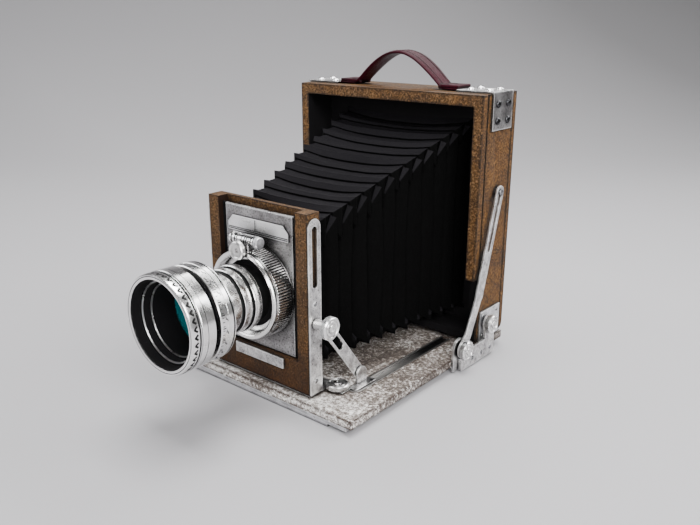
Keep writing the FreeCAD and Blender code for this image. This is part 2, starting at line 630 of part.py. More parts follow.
def make_back():
    low = "case_middle_z - screen_half_height"
    high = "case_middle_z + screen_half_height"
    frame = box(("-screen_half", "screen_half"), ("screen_front", "back_end"), (low, high))
    window = box(("-screen_half + screen_frame_bar", "screen_half - screen_frame_bar"),
                 ("screen_front - 1", "back_end + 1"),
                 (f"{low} + screen_frame_bar", f"{high} - screen_frame_bar"))
    seat = box(("-screen_half + screen_frame_bar - glass_lap",
                "screen_half - screen_frame_bar + glass_lap"),
               ("screen_front - 1", "screen_front + glass_thickness + 0.6"),
               (f"{low} + screen_frame_bar - glass_lap",
                f"{high} - screen_frame_bar + glass_lap"))
    node("screen_frame", cut(frame, window, seat))
    node("ground_glass", box(
        ("-screen_half + screen_frame_bar - glass_lap + 0.2",
         "screen_half - screen_frame_bar + glass_lap - 0.2"),
        ("screen_front + 0.6", "screen_front + glass_thickness + 0.6"),
        (f"{low} + screen_frame_bar - glass_lap + 0.2",
         f"{high} - screen_frame_bar + glass_lap - 0.2")))
    springs = []
    for side in ("-1", "1"):
        middle = f"case_middle_z + {side} * (screen_half_height - screen_frame_bar / 2)"
        reach = "back_opening_width / 2 + 8"
        springs.append(box((f"-({reach})", reach), ("back_end", "back_end + spring_thickness"),
                           (f"{middle} - spring_height / 2", f"{middle} + spring_height / 2")))
    node("screen_springs", group(*springs))


def make_case_metal():
    top_leg = box(("case_half - corner_plate_run", "case_half + corner_plate_thickness"),
                  ("corner_plate_front", "corner_plate_front + corner_plate_width"),
                  ("case_top", "case_top + corner_plate_thickness"))
    side_leg = box(("case_half", "case_half + corner_plate_thickness"),
                   ("corner_plate_front", "corner_plate_front + corner_plate_width"),
                   ("case_top - corner_plate_drop", "case_top + corner_plate_thickness"))
    corner = fuse(top_leg, side_leg)
    screws = []
    near = "corner_plate_front + 9"
    far = "corner_plate_front + corner_plate_width - 9"
    for y in (near, far):
        for z in ("case_top - 9.5", "case_top - corner_plate_drop + 9"):
            screws.append(fuse(
                cylinder("x", "case_half + corner_plate_thickness - 0.5", y, z,
                         "corner_screw_radius", "corner_screw_height + 0.5"),
                cylinder("x", "case_half - 6", y, z, "screw_shank_radius",
                         "corner_plate_thickness + 6")))
        for x in ("case_half - 8", "case_half - corner_plate_run + 11"):
            screws.append(fuse(
                cylinder("z", x, y, "case_top + corner_plate_thickness - 0.5",
                         "corner_screw_radius", "corner_screw_height + 0.5"),
                cylinder("z", x, y, "case_top - 6", "screw_shank_radius",
                         "corner_plate_thickness + 6")))
    drills["case_shell"] += both_sides(screws)
    pair("corner_plate", cut(corner, *screws))
    node("corner_screws", group(*both_sides(screws)))

    plate = box(("case_half", "case_half + hinge_plate_thickness"),
                ("hinge_plate_front", "hinge_plate_front + hinge_plate_width"),
                ("hinge_plate_bottom", "hinge_plate_top"))
    plate_screws = []
    for y, z in (("hinge_plate_front + 6", "hinge_plate_top - 5.5"),
                 ("hinge_plate_front + hinge_plate_width - 6", "hinge_plate_top - 5.5"),
                 ("hinge_plate_front + 6", "hinge_plate_bottom + 5"),
                 ("hinge_plate_front + hinge_plate_width - 6", "hinge_plate_bottom + 5")):
        plate_screws.append(fuse(
            cylinder("x", "case_half + hinge_plate_thickness - 0.6", y, z,
                     "screw_head_radius - 0.8", "1.4"),
            cylinder("x", "case_half - 6", y, z, "screw_shank_radius",
                     "hinge_plate_thickness + 6")))
    drills["case_shell"] += both_sides(plate_screws)
    pivot = fuse(
        cylinder("x", "case_half - 5", "hinge_y", "hinge_z", "pivot_radius",
                 "knob_face_x + knob_thickness - 1.6 - case_half + 5"),
        cylinder("x", "case_half + hinge_plate_thickness", "hinge_y", "hinge_z",
                 "pivot_radius + 1.8",
                 "plate_inner_x - 0.3 - case_half - hinge_plate_thickness"))
    stud = fuse(
        cylinder("x", "case_half - 5", "stay_stud_y", "stay_stud_z", "stud_radius",
                 "stay_inner_x + stay_thickness + 0.3 - case_half + 6"),
        cylinder("x", "case_half", "stay_stud_y", "stay_stud_z", "stud_radius + 1.8",
                 "stay_inner_x - 0.3 - case_half"),
        cylinder("x", "stay_inner_x + stay_thickness + 0.3", "stay_stud_y", "stay_stud_z",
                 "stud_radius + 1.2", "1.2"))
    drills["case_shell"] += both_sides([pivot, stud])
    pair("hinge_plate", cut(plate, pivot, *plate_screws))
    node("hinge_plate_screws", group(*both_sides(plate_screws)))
    node("case_pivots", group(*both_sides([pivot])))
    node("stay_studs", group(*both_sides([stud])))


def make_handle():
    """A flat strap: two tabs on the case top and an arch between them."""
    top = size("case_top") + 0.05
    thick = size("handle_thickness")
    foot = size("handle_outer_foot")
    rise = size("handle_height")
    width = size("handle_width")
    half = size("handle_half_length")

    def outline(x_foot, height, low):
        """Half an ellipse-like arch as three arcs."""
        shoulder = V(x_foot * 0.72, 0, low + height * 0.72)
        crown = V(0, 0, low + height)
        quarter = V(x_foot * 0.36, 0, low + height * 0.93)
        side = V(x_foot * 0.9, 0, low + height * 0.42)
        right = [Part.Arc(V(x_foot, 0, low), side, shoulder).toShape(),
                 Part.Arc(shoulder, quarter, crown).toShape()]
        left = [edge.mirror(V(0, 0, 0), V(1, 0, 0)) for edge in right]
        return right + left

    outer = outline(foot, rise, top)
    inner = outline(foot - thick * 1.9, rise - thick, top)
    floor = [Part.makeLine(V(foot, 0, top), V(foot - thick * 1.9, 0, top)),
             Part.makeLine(V(-foot, 0, top), V(-foot + thick * 1.9, 0, top))]
    edges = Part.sortEdges(outer + inner + floor)
    arch = Part.Face(Part.Wire(edges[0])).extrude(V(0, width, 0))
    solid = arch
    for side in (-1, 1):
        tab = Part.makeBox(half - foot + 6, width, thick * 0.8,
                           V(-half if side < 0 else foot - 6, 0, top))
        solid = solid.fuse(tab)
    solid = solid.removeSplitter()
    strap = solid_of(solid)
    strap.Placement = FreeCAD.Placement(V(0, size("handle_y") - width / 2, 0),
                                        FreeCAD.Rotation())
    screws = []
    for y in ("handle_y - 6", "handle_y + 6"):
        screws.append(fuse(
            cylinder("z", "handle_half_length - 9", y, "case_top + handle_thickness * 0.8 - 0.4",
                     "screw_head_radius + 0.4", "1.8"),
            cylinder("z", "handle_half_length - 9", y, "case_top - 7", "screw_shank_radius",
                     "handle_thickness * 0.8 + 7")))
    all_screws = both_sides(screws)
    drills["case_shell"] += all_screws
    node("handle", cut(strap, *all_screws))
    node("handle_screws", group(*all_screws))


# ---------------------------------------------------------------- stays and knobs
def make_stays():
    points = [(size("stay_pivot_y"), size("stay_pivot_z")),
              (size("stay_bend_low_y"), size("stay_bend_low_z")),
              (size("stay_bend_high_y"), size("stay_bend_high_z")),
              (size("stay_stud_y"), size("stay_stud_z"))]
    foot = size("stay_foot_width")
    thick = size("stay_thickness")
    start = size("stay_inner_x")
    bar = bar_shape(points, [foot, foot, size("stay_width")], thick, start)
    bend, stud = (V(0, *points[2]), V(0, *points[3]))
    along = (bend - stud).normalize()
    low = stud + along * size("stay_slot_length")
    slot = bar_shape([points[3], (low.y, low.z)], [size("stay_slot_width")], thick + 2, start - 1)
    bore = Part.makeCylinder(size("pivot_radius") + size("running_clearance"), thick + 2,
                             V(start - 1, *points[0]), V(1, 0, 0))
    pair("stay", solid_of(bar.cut(slot).cut(bore)))


def knob(axis, x, y, z, radius, thickness, bore):
    """A flat clamp knob: a disc with a raised centre, blind-bored for its stud."""
    disc = cylinder(axis, x, y, z, radius, thickness)
    boss_at = {"x": (f"{x} + {thickness}", y, z), "z": (x, y, f"{z} + {thickness}")}[axis]
    boss = cylinder(axis, *boss_at, "knob_boss_radius", "knob_boss_height")
    start = {"x": (f"{x} - 1", y, z), "z": (x, y, f"{z} - 1")}[axis]
    hole = cylinder(axis, *start, bore, f"{thickness} - 0.5")
    return cut(fuse(disc, boss), hole)


def make_knobs():
    clearance = "pivot_radius + running_clearance"
    pair("stay_knob", knob("x", "knob_face_x", "stay_pivot_y", "stay_pivot_z",
                           "knob_radius", "knob_thickness", clearance))
    pair("hinge_knob", knob("x", "knob_face_x", "hinge_y", "hinge_z",
                            "knob_radius", "knob_thickness", clearance))
    pair("brace_knob", knob("x", "brace_inner + brace_thickness + knob_gap", "standard_middle",
                            "brace_stud_z", "side_knob_radius", "side_knob_thickness",
                            "brace_stud_radius + running_clearance"))
    pair("lock_knob", knob("z", "lock_knob_x", "lock_knob_y", "carriage_top + 0.2",
                           "lock_knob_radius", "lock_knob_thickness",
                           "lock_stud_radius + running_clearance"))


# ---------------------------------------------------------------- carriage
def make_carriage():
    under = box(("-standard_half", "standard_half"), ("standard_front + 1", "lock_knob_y + 7"),
                ("carriage_bottom", "carriage_top"))
    tongue = box(("-foot_outer_x", "foot_outer_x"), ("lock_knob_y - 6", "lock_knob_y + 6"),
                 ("carriage_bottom", "carriage_top"))
    ears = []
    for side in ("", "-"):
        low, high = "ear_inner", "ear_inner + ear_thickness"
        span = (low, high) if side == "" else (f"-({high})", f"-{low}")
        ears.append(box(span, ("standard_middle - 3.5", "standard_middle + 3.5"),
                        ("carriage_bottom", "tilt_axis_z + 3.5")))
    bore = cylinder("x", "-60", "standard_middle", "tilt_axis_z",
                    "tilt_pin_radius + running_clearance", "120")
    studs = both_sides([cylinder("z", "lock_knob_x", "lock_knob_y", "carriage_bottom",
                                 "lock_stud_radius",
                                 "carriage_thickness + lock_knob_thickness - 1.6")])
    node("carriage_plate", fuse(cut(fuse(under, tongue, *ears), bore), *studs))

    inner = "foot_outer_x - foot_thickness"
    strip = box(("track_centre - foot_strip_width / 2", "track_centre + foot_strip_width / 2"),
                ("brace_foot_y - foot_width / 2", "brace_foot_y + foot_strip_length / 2"),
                ("bed_top - track_depth + track_floor + 0.3", "carriage_bottom"))
    shoe = box((inner, "track_centre + foot_strip_width / 2"),
               ("lock_knob_y + 6", "brace_foot_y + foot_strip_length / 2"),
               ("carriage_bottom", "carriage_top"))
    lug = box((inner, "foot_outer_x"),
              ("brace_foot_y - foot_width / 2", "brace_foot_y + foot_width / 2"),
              ("carriage_bottom", "brace_foot_z"))
    eye = cylinder("x", inner, "brace_foot_y", "brace_foot_z", "foot_width / 2",
                   "foot_thickness")
    pin = cylinder("x", "brace_inner - 0.8", "brace_foot_y", "brace_foot_z",
                   "brace_pin_radius", f"{inner} - brace_inner + 1.8")
    pair("brace_foot", fuse(strip, shoe, lug, eye, pin))


# ---------------------------------------------------------------- front standard
def make_standard():
    posts = []
    for side in (1, -1):
        span = ("post_inner", "standard_half") if side > 0 else ("-standard_half", "-post_inner")
        posts.append(box(span, ("standard_front", "standard_back"),
                         ("standard_bottom", "standard_top")))
    rear = box(("-post_inner", "post_inner"), ("rear_panel_front", "standard_back"),
               ("standard_bottom", "standard_top"))
    rail = box(("-post_inner", "post_inner"), ("standard_front", "rear_panel_front"),
               ("standard_bottom", "lower_rail_top"))
    window = box(("-rear_panel_opening_width / 2", "rear_panel_opening_width / 2"),
                 ("rear_panel_front - 1", "standard_back + 1"),
                 ("lens_z - rear_panel_opening_height / 2", "lens_z + rear_panel_opening_height / 2"))
    pockets = []
    for side in (1, -1):
        low = "ear_inner - ear_clearance"
        high = "ear_inner + ear_thickness + ear_clearance"
        span = (low, high) if side > 0 else (f"-({high})", f"-({low})")
        pockets.append(box(span, ("standard_middle - 3.5 - 1.6", "standard_middle + 3.5 + 1.6"),
                           ("standard_bottom - 1", "tilt_axis_z + 3.5 + 1.2")))
    pin_bore = cylinder("x", "-tilt_pin_half", "standard_middle", "tilt_axis_z",
                        "tilt_pin_radius", "2 * tilt_pin_half")
    groove = box(("standard_half - strap_slot_depth", "standard_half + 1"),
                 ("standard_middle - strap_slot_width / 2", "standard_middle + strap_slot_width / 2"),
                 ("strap_slot_low", "strap_slot_high"))
    frame = cut(fuse(*posts, rear, rail), window, *pockets, pin_bore, groove, mirrored(groove))
    drilled_later("standard_frame", frame)
    node("tilt_pin", cylinder("x", "-tilt_pin_half", "standard_middle", "tilt_axis_z",
                              "tilt_pin_radius", "2 * tilt_pin_half"))

    strap = fuse(
        box(("standard_half", "strap_outer_x"),
            ("standard_middle - strap_width / 2", "standard_middle + strap_width / 2"),
            ("standard_bottom", "strap_top - strap_width / 2")),
        cylinder("x", "standard_half", "standard_middle", "strap_top - strap_width / 2",
                 "strap_width / 2", "strap_thickness"))
    slot = fuse(
        box(("standard_half - 1", "strap_outer_x + 1"),
            ("standard_middle - strap_slot_width / 2", "standard_middle + strap_slot_width / 2"),
            ("strap_slot_low + strap_slot_width / 2", "strap_slot_high - strap_slot_width / 2")),
        *[cylinder("x", "standard_half - 1", "standard_middle", z, "strap_slot_width / 2",
                   "strap_thickness + 2")
          for z in ("strap_slot_low + strap_slot_width / 2",
                    "strap_slot_high - strap_slot_width / 2")])
    stud = fuse(
        cylinder("x", "standard_half - 5", "standard_middle", "brace_stud_z",
                 "brace_stud_radius", "brace_inner + brace_thickness + knob_gap"
                 " + side_knob_thickness - 1.6 - standard_half + 5"),
        cylinder("x", "strap_outer_x", "standard_middle", "brace_stud_z",
                 "brace_stud_radius + 1.6", "brace_inner - 0.3 - strap_outer_x"))
    screws = [fuse(
        cylinder("x", "strap_outer_x - 0.6", "standard_middle", z, "screw_head_radius - 0.6",
                 "1.2"),
        cylinder("x", "standard_half - 6", "standard_middle", z, "screw_shank_radius",
                 "strap_thickness + 6")) for z in ("standard_bottom + 12", "brace_stud_z + 18")]
    pair("side_strap", cut(strap, slot, stud, *screws))
    node("strap_screws", group(*both_sides(screws)))
    node("brace_studs", group(*both_sides([stud])))

    bar = box(("-base_bar_width / 2", "base_bar_width / 2"),
              ("standard_front - base_bar_thickness", "standard_front"),
              ("base_bar_bottom", "base_bar_bottom + base_bar_height"))
    node("base_bar", bar)
    drills["standard_frame"] += both_sides(screws + [stud])


def make_braces():
    stud = (size("standard_middle"), size("brace_stud_z"))
    foot = (size("brace_foot_y"), size("brace_foot_z"))
    thick = size("brace_thickness")
    start = size("brace_inner")
    bar = bar_shape([foot, stud], [size("brace_width")], thick, start)
    along = (V(0, *foot) - V(0, *stud)).normalize()
    low = V(0, *stud) + along * size("brace_slot_length")
    slot_width = 2 * (size("brace_stud_radius") + size("brace_slot_gap"))
    slot = bar_shape([stud, (low.y, low.z)], [slot_width], thick + 2, start - 1)
    bore = Part.makeCylinder(size("brace_pin_radius") + size("running_clearance"), thick + 2,
                             V(start - 1, *foot), V(1, 0, 0))
    pair("brace", solid_of(bar.cut(slot).cut(bore)))


# ---------------------------------------------------------------- lens and shutter
def make_lens_panel():
    flange = box(("-panel_half - panel_flange", "panel_half + panel_flange"),
                 ("panel_back - panel_flange_thickness", "panel_back"),
                 ("panel_bottom", "panel_top"))
    field = box(("-panel_half", "panel_half"),
                ("panel_front", "panel_back - panel_flange_thickness"),
                ("panel_bottom", "panel_top"))
    hole = cylinder("y", "0", "panel_front - 1", "lens_z", "shutter_bore", "20")
    node("lens_panel", cut(fuse(flange, field), hole))

    lower = box(("-catch_width / 2", "catch_width / 2"),
                ("panel_front - catch_thickness", "panel_front"),
                ("catch_bottom", "catch_shoulder"))
    upper = box(("-catch_top_width / 2", "catch_top_width / 2"),
                ("panel_front - catch_thickness", "panel_front"), ("catch_bottom", "catch_top"))
    node("scale_plate", fuse(lower, upper))


def make_shutter():
    body = cone("y", "0", "shutter_front", "lens_z", "shutter_front_radius", "shutter_radius",
                "panel_front - shutter_front")
    recess = cylinder("y", "0", "shutter_front - 1", "lens_z", "shutter_recess_radius",
                      "shutter_recess_depth + 1")
    bore = cylinder("y", "0", "shutter_front - 1", "lens_z", "shutter_bore", "60")
    stem_bore = cylinder("y", "0", "dial_front", "dial_z",
                         "dial_stem_radius + running_clearance", "13")
    node("shutter_case", cut(body, recess, bore, stem_bore))

    tube = cylinder("x", "-cylinder_half", "cylinder_y", "cylinder_z", "cylinder_radius",
                    "2 * cylinder_half")
    rings = [cylinder("x", x, "cylinder_y", "cylinder_z", "cylinder_radius + cylinder_ring",
                      "1.8") for x in ("-cylinder_half", "-cylinder_half + 5", "-1",
                                       "cylinder_half - 7", "cylinder_half - 1.8")]
    saddle = box(("-saddle_half", "saddle_half"), ("cylinder_y - 5.2", "cylinder_y + 5.2"),
                 ("cylinder_z - 15", "cylinder_z"))
    node("shutter_cylinder", cut(fuse(tube, *rings, cut(saddle, body)), stem_bore))

    disc = cylinder("y", "0", "dial_front", "dial_z", "dial_radius", "dial_thickness")
    stem = cylinder("y", "0", "dial_front + dial_thickness", "dial_z", "dial_stem_radius",
                    "cylinder_y - dial_front - dial_thickness - 1")
    node("speed_dial", fuse(disc, stem))


def make_barrel():
    rings = [
        ("barrel_back", "panel_back + 3", "tube_radius"),
        ("barrel_step_one + barrel_groove", "barrel_back", "barrel_radius_one"),
        ("barrel_step_two + barrel_groove", "barrel_step_one + barrel_groove",
         "barrel_radius_two"),
        ("iris_ring_back + ring_gap", "barrel_step_two + barrel_groove", "barrel_radius_three"),
        ("iris_ring_front - ring_gap", "iris_ring_back + ring_gap", "hub_radius"),
        ("collar_front", "iris_ring_front - ring_gap", "collar_radius"),
    ]
    solids = [cylinder("y", "0", front, "lens_z", radius, f"({back}) - ({front})")
              for front, back, radius in rings]
    grooves = []
    for step, above in (("barrel_step_one", "barrel_radius_one"),
                        ("barrel_step_two", "barrel_radius_two")):
        grooves.append(ring_y(step, f"{step} + barrel_groove", f"{above} + 1",
                              f"{above} - 2.4"))
    bore = cylinder("y", "0", "collar_front - 1", "lens_z", "tube_bore", "120")
    wide = cylinder("y", "0", "collar_front - 1", "lens_z", "hub_bore",
                    "front_glass_y + front_glass_sag + front_glass_edge - collar_front + 1")
    node("lens_barrel", cut(fuse(*solids), *grooves, bore, wide))

    clearance = "hub_radius + running_clearance"
    node("aperture_ring", ring_y("iris_ring_front", "iris_ring_back", "iris_ring_radius",
                                 clearance))

    band = ring_y("front_ring_back", "collar_front", "band_radius", "baffle_one_bore")
    sleeve = ring_y("front_ring_front + front_lip_depth + ring_gap", "front_ring_back",
                    "sleeve_radius", "baffle_one_bore")
    step = cylinder("y", "0", "front_ring_front", "lens_z", "sleeve_bore",
                    "baffle_one - front_ring_front")
    neck = ring_y("baffle_two", "collar_front", "baffle_one_bore + 1", "hub_bore")
    node("lens_hood", fuse(cut(fuse(band, sleeve), step), neck))

    turning = ring_y("front_ring_front", "front_ring_back - ring_gap", "front_ring_radius",
                     "sleeve_radius + running_clearance")
    lip = ring_y("front_ring_front", "front_ring_front + front_lip_depth",
                 "sleeve_radius + 1", "front_lip_radius")
    node("front_ring", fuse(turning, lip))


def lens_shape(radius, edge, sag, crown_y, height):
    """A glass with a bulging front and a flat back."""
    curve = (radius * radius + sag * sag) / (2 * sag)
    ball = Part.makeSphere(curve, V(0, crown_y + curve, height))
    blank = Part.makeCylinder(radius, sag + edge, V(0, crown_y, height), V(0, 1, 0))
    return blank.common(ball)


def make_glass():
    height = size("lens_z")
    front = lens_shape(size("hub_bore") - size("glass_gap"), size("front_glass_edge"),
                       size("front_glass_sag"), size("front_glass_y"), height)
    node("front_glass", solid_of(front))
    rear = Part.makeCylinder(size("tube_bore") - size("glass_gap"), size("rear_glass_thickness"),
                             V(0, size("panel_back") - 3, height), V(0, 1, 0))
    node("rear_glass", solid_of(rear))


wood_screws = []
make_bed()
make_side_brackets()
node("wood_screws", group(*wood_screws))
make_case()
make_bellows()
make_back()
make_case_metal()
make_handle()
make_stays()
make_knobs()
make_carriage()
make_standard()
make_braces()
make_lens_panel()
make_shutter()
make_barrel()
make_glass()
for name, blank in blanks.items():
    node(name, cut(blank, *drills[name]))
doc.recompute()

# ---------------------------------------------------------------- checks and export
for piece in doc.Objects:
    if "Invalid" in piece.State or "Error" in piece.State:
        raise SystemExit(f"{piece.Label} could not be computed")
for name, piece in nodes.items():
    if piece.Shape.isNull() or not piece.Shape.isValid() or not piece.Shape.Solids:
        raise SystemExit(f"{name} has no valid shape")

os.makedirs("parts", exist_ok=True)
for name, piece in nodes.items():
    piece.Shape.exportStep(f"parts/{name}.step")
    print(f"{name}: {len(piece.Shape.Solids)} solids, {piece.Shape.Volume / 1000:.2f} cm3")
print(len(nodes), "nodes")
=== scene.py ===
import math
import random
import bmesh
import bpy
from mathutils import Matrix, Vector, noise


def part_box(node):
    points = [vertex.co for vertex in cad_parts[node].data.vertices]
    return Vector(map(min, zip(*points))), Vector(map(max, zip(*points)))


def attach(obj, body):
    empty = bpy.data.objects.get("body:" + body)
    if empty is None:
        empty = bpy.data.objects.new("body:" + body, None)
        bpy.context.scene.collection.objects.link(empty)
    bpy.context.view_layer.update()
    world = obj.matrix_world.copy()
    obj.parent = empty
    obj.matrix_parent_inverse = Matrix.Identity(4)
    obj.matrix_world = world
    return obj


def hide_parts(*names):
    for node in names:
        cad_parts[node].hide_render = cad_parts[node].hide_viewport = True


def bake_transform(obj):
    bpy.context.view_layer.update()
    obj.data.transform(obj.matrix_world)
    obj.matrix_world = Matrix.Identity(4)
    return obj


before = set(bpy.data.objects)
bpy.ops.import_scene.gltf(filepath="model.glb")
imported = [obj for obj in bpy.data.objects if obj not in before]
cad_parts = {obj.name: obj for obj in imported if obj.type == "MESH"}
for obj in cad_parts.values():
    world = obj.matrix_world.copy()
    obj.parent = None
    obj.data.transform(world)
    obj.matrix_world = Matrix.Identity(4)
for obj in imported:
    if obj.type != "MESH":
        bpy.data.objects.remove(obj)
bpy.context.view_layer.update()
mm = 0.001
axisTurn = {"x": Matrix.Rotation(math.radians(90), 4, "Y"),
            "y": Matrix.Rotation(math.radians(-90), 4, "X"),
            "z": Matrix.Identity(4)}
finishes = {}


# small helpers for shader trees
def addNode(tree, kind, inputs=None, **settings):
    node = tree.nodes.new(kind)
    for key, value in settings.items():
        setattr(node, key, value)
    for key, value in (inputs or {}).items():
        if isinstance(value, bpy.types.NodeSocket):
            tree.links.new(value, node.inputs[key])
        else:
            node.inputs[key].default_value = value
    return node


def newFinish(name):
    finish = bpy.data.materials.new(name)
    finish.use_nodes = True
    tree = finish.node_tree
    finishes[name] = finish
    return tree, tree.nodes["Principled BSDF"]


def placeOn(tree, scale=(1, 1, 1), turn=(0, 0, 0)):
    coords = addNode(tree, "ShaderNodeTexCoord")
    return addNode(tree, "ShaderNodeMapping", {"Vector": coords.outputs["Object"], "Scale": scale,
                                               "Rotation": turn}).outputs["Vector"]


def grain(tree, vector, scale, detail=6.0, roughness=0.6, distortion=0.0):
    return addNode(tree, "ShaderNodeTexNoise", {"Vector": vector, "Scale": scale, "Detail": detail,
                                                "Roughness": roughness,
                                                "Distortion": distortion}).outputs["Fac"]


def between(tree, value, low, high, toLow=0.0, toHigh=1.0):
    return addNode(tree, "ShaderNodeMapRange", {"Value": value, "From Min": low, "From Max": high,
                                                "To Min": toLow,
                                                "To Max": toHigh}).outputs["Result"]


def combine(tree, operation, first, second):
    return addNode(tree, "ShaderNodeMath", {0: first, 1: second}, operation=operation).outputs[0]


def times(tree, first, second):
    return combine(tree, "MULTIPLY", first, second)


def partOf(tree, vector, axis):
    return addNode(tree, "ShaderNodeSeparateXYZ", {0: vector}).outputs[axis]


def facingOf(tree, axis):
    return partOf(tree, addNode(tree, "ShaderNodeNewGeometry").outputs["Normal"], axis)


def blendColour(tree, share, first, second, mode="MIX"):
    node = addNode(tree, "ShaderNodeMix", data_type="RGBA", blend_type=mode)
    for socket, value in ((node.inputs[0], share), (node.inputs[6], first),
                          (node.inputs[7], second)):
        if isinstance(value, bpy.types.NodeSocket):
            tree.links.new(value, socket)
        else:
            socket.default_value = value if not hasattr(value, "__len__") else (*value, 1.0)[:4]
    return node.outputs[2]


def edgeShare(tree, width, low=0.14, high=0.34):
    inner = addNode(tree, "ShaderNodeAmbientOcclusion", {"Distance": width}, samples=6,
                    inside=True, only_local=True)
    return between(tree, inner.outputs["AO"], 1.0 - low, 1.0 - high)


# 1 deep in a corner or gap and 0 in the open; the mask for painted shade in corners and gaps
def hollows(tree, reach, wide=0.9, closed=0.5):
    shut = addNode(tree, "ShaderNodeAmbientOcclusion", {"Distance": reach}, samples=6)
    return between(tree, shut.outputs["AO"], wide, closed)


def relief(tree, bsdf, height, distance):
    bump = addNode(tree, "ShaderNodeBump", {"Height": height, "Distance": distance})
    tree.links.new(bump.outputs["Normal"], bsdf.inputs["Normal"])


def setShader(tree, bsdf, **values):
    for key, value in values.items():
        socket = bsdf.inputs[key.replace("_", " ")]
        if isinstance(value, bpy.types.NodeSocket):
            tree.links.new(value, socket)
        elif hasattr(value, "__len__"):
            socket.default_value = (*value, 1.0)[:4]
        else:
            socket.default_value = value


# finishes
def woodFinish(name, look):
    tree, bsdf = newFinish(name)
    flat = placeOn(tree)
    along = placeOn(tree, scale=look["grainScale"])
    streaks = grain(tree, along, 240, 8, 0.65)
    patches = grain(tree, flat, 45, 6, 0.65)
    specks = grain(tree, flat, 520, 8, 0.85)
    dirt = grain(tree, flat, 130, 8, 0.7)
    colour = blendColour(tree, between(tree, patches, 0.38, 0.62), look["dark"], look["light"])
    colour = blendColour(tree, between(tree, streaks, 0.42, 0.6, 0.0, 0.6), colour, look["streak"])
    colour = blendColour(tree, between(tree, specks, 0.505, 0.56, 0.0, 0.92), colour, look["speck"])
    colour = blendColour(tree, between(tree, specks, 0.47, 0.38, 0.0, 0.5), colour, look["glint"])
    lines = grain(tree, placeOn(tree, scale=look["crackScale"]), 70, 3, 0.5, 0.6)
    near = combine(tree, "ABSOLUTE", combine(tree, "SUBTRACT", lines, 0.5), 0.0)
    crack = times(tree, between(tree, near, 0.009, 0.002),
                    between(tree, grain(tree, flat, 26, 2), 0.52, 0.57))
    colour = blendColour(tree, crack, colour, look["stainAndShade"])
    edges = edgeShare(tree, look["edgeWidth"])
    broken = times(tree, edges, between(tree, dirt, 0.36, 0.46))
    spots = between(tree, grain(tree, flat, 85, 10, 0.78), 0.62, 0.68)
    marksAndShade = combine(tree, "MAXIMUM", broken, times(tree, spots, 0.85))
    # painted shade: corners and gaps darkened, merged with the real edge wear and stain spots
    marksAndShade = combine(tree, "MAXIMUM", marksAndShade, hollows(tree, look["gapReach"], 0.82, 0.42))
    colour = blendColour(tree, marksAndShade, colour, look["stainAndShade"])
    # darker towards the bottom of the piece
    if "lowDark" in look:
        height = partOf(tree, flat, "Z")
        colour = blendColour(tree, between(tree, height, look["lowDark"][0], look["lowDark"][1],
                                           0.85, 0.0), colour, look["lowColour"], "MULTIPLY")
    # painted light: faces that point to the front are made paler and cooler
    if "front" in look:
        ahead = between(tree, facingOf(tree, "Y"), -0.4, -0.8)
        colour = blendColour(tree, ahead, colour, look["front"],
                             "MULTIPLY")
    surface = combine(tree, "SUBTRACT", specks, times(tree, crack, 2.0))
    surface = combine(tree, "ADD", surface, times(tree, streaks, 0.6))
    setShader(tree, bsdf, Base_Color=colour, Specular_IOR_Level=0.2,
              Roughness=between(tree, patches, 0.3, 0.7, 0.55, 0.75))
    relief(tree, bsdf, surface, 0.0003)


def paintedBoardFinish(name):
    look = {"paint": (0.78, 0.76, 0.73), "shade": (0.15, 0.12, 0.10), "worn": (0.022, 0.014, 0.010),
            "rust": (0.03, 0.014, 0.007), "chip": (0.85, 0.83, 0.79)}
    tree, bsdf = newFinish(name)
    flat = placeOn(tree)
    blotches = grain(tree, flat, 300, 12, 0.85)
    clouds = grain(tree, flat, 26, 5, 0.6)
    fine = grain(tree, flat, 800, 4, 0.8)
    reach = partOf(tree, flat, "Y")
    middle = between(tree, reach, -0.12, 0.0, 0.0, 0.055)
    clouded = times(tree, combine(tree, "SUBTRACT", clouds, 0.5), 0.3)
    blotches = combine(tree, "ADD", blotches, combine(tree, "ADD", middle, clouded))
    colour = blendColour(tree, between(tree, blotches, 0.46, 0.53), look["paint"], look["shade"])
    colour = blendColour(tree, between(tree, fine, 0.52, 0.64, 0.0, 0.55), colour, look["worn"])
    bare = between(tree, blotches, 0.55, 0.61, 0.0, 0.85)
    colour = blendColour(tree, bare, colour, look["worn"])
    ragged = grain(tree, flat, 190, 8, 0.8)
    edges = edgeShare(tree, 0.0036)
    colour = blendColour(tree, times(tree, edges, between(tree, ragged, 0.43, 0.47)),
                         colour, look["rust"])
    colour = blendColour(tree, times(tree, edgeShare(tree, 0.003),
                                       between(tree, ragged, 0.44, 0.40)), colour, look["chip"])
    # painted shade: corners and gaps darkened with the worn-paint colour
    colour = blendColour(tree, hollows(tree, 0.007, 0.78, 0.4), colour, look["worn"])
    setShader(tree, bsdf, Base_Color=colour, Roughness=between(tree, blotches, 0.4, 0.6, 0.38, 0.7))
    relief(tree, bsdf, combine(tree, "SUBTRACT", fine, times(tree, bare, 1.4)), 0.0002)


usualMetal = {"edge": (1.0, 1.0, 1.0), "edgeShare": 0.8, "pitShare": 0.5, "gapReach": 0.004,
              "gapRange": (0.88, 0.5)}


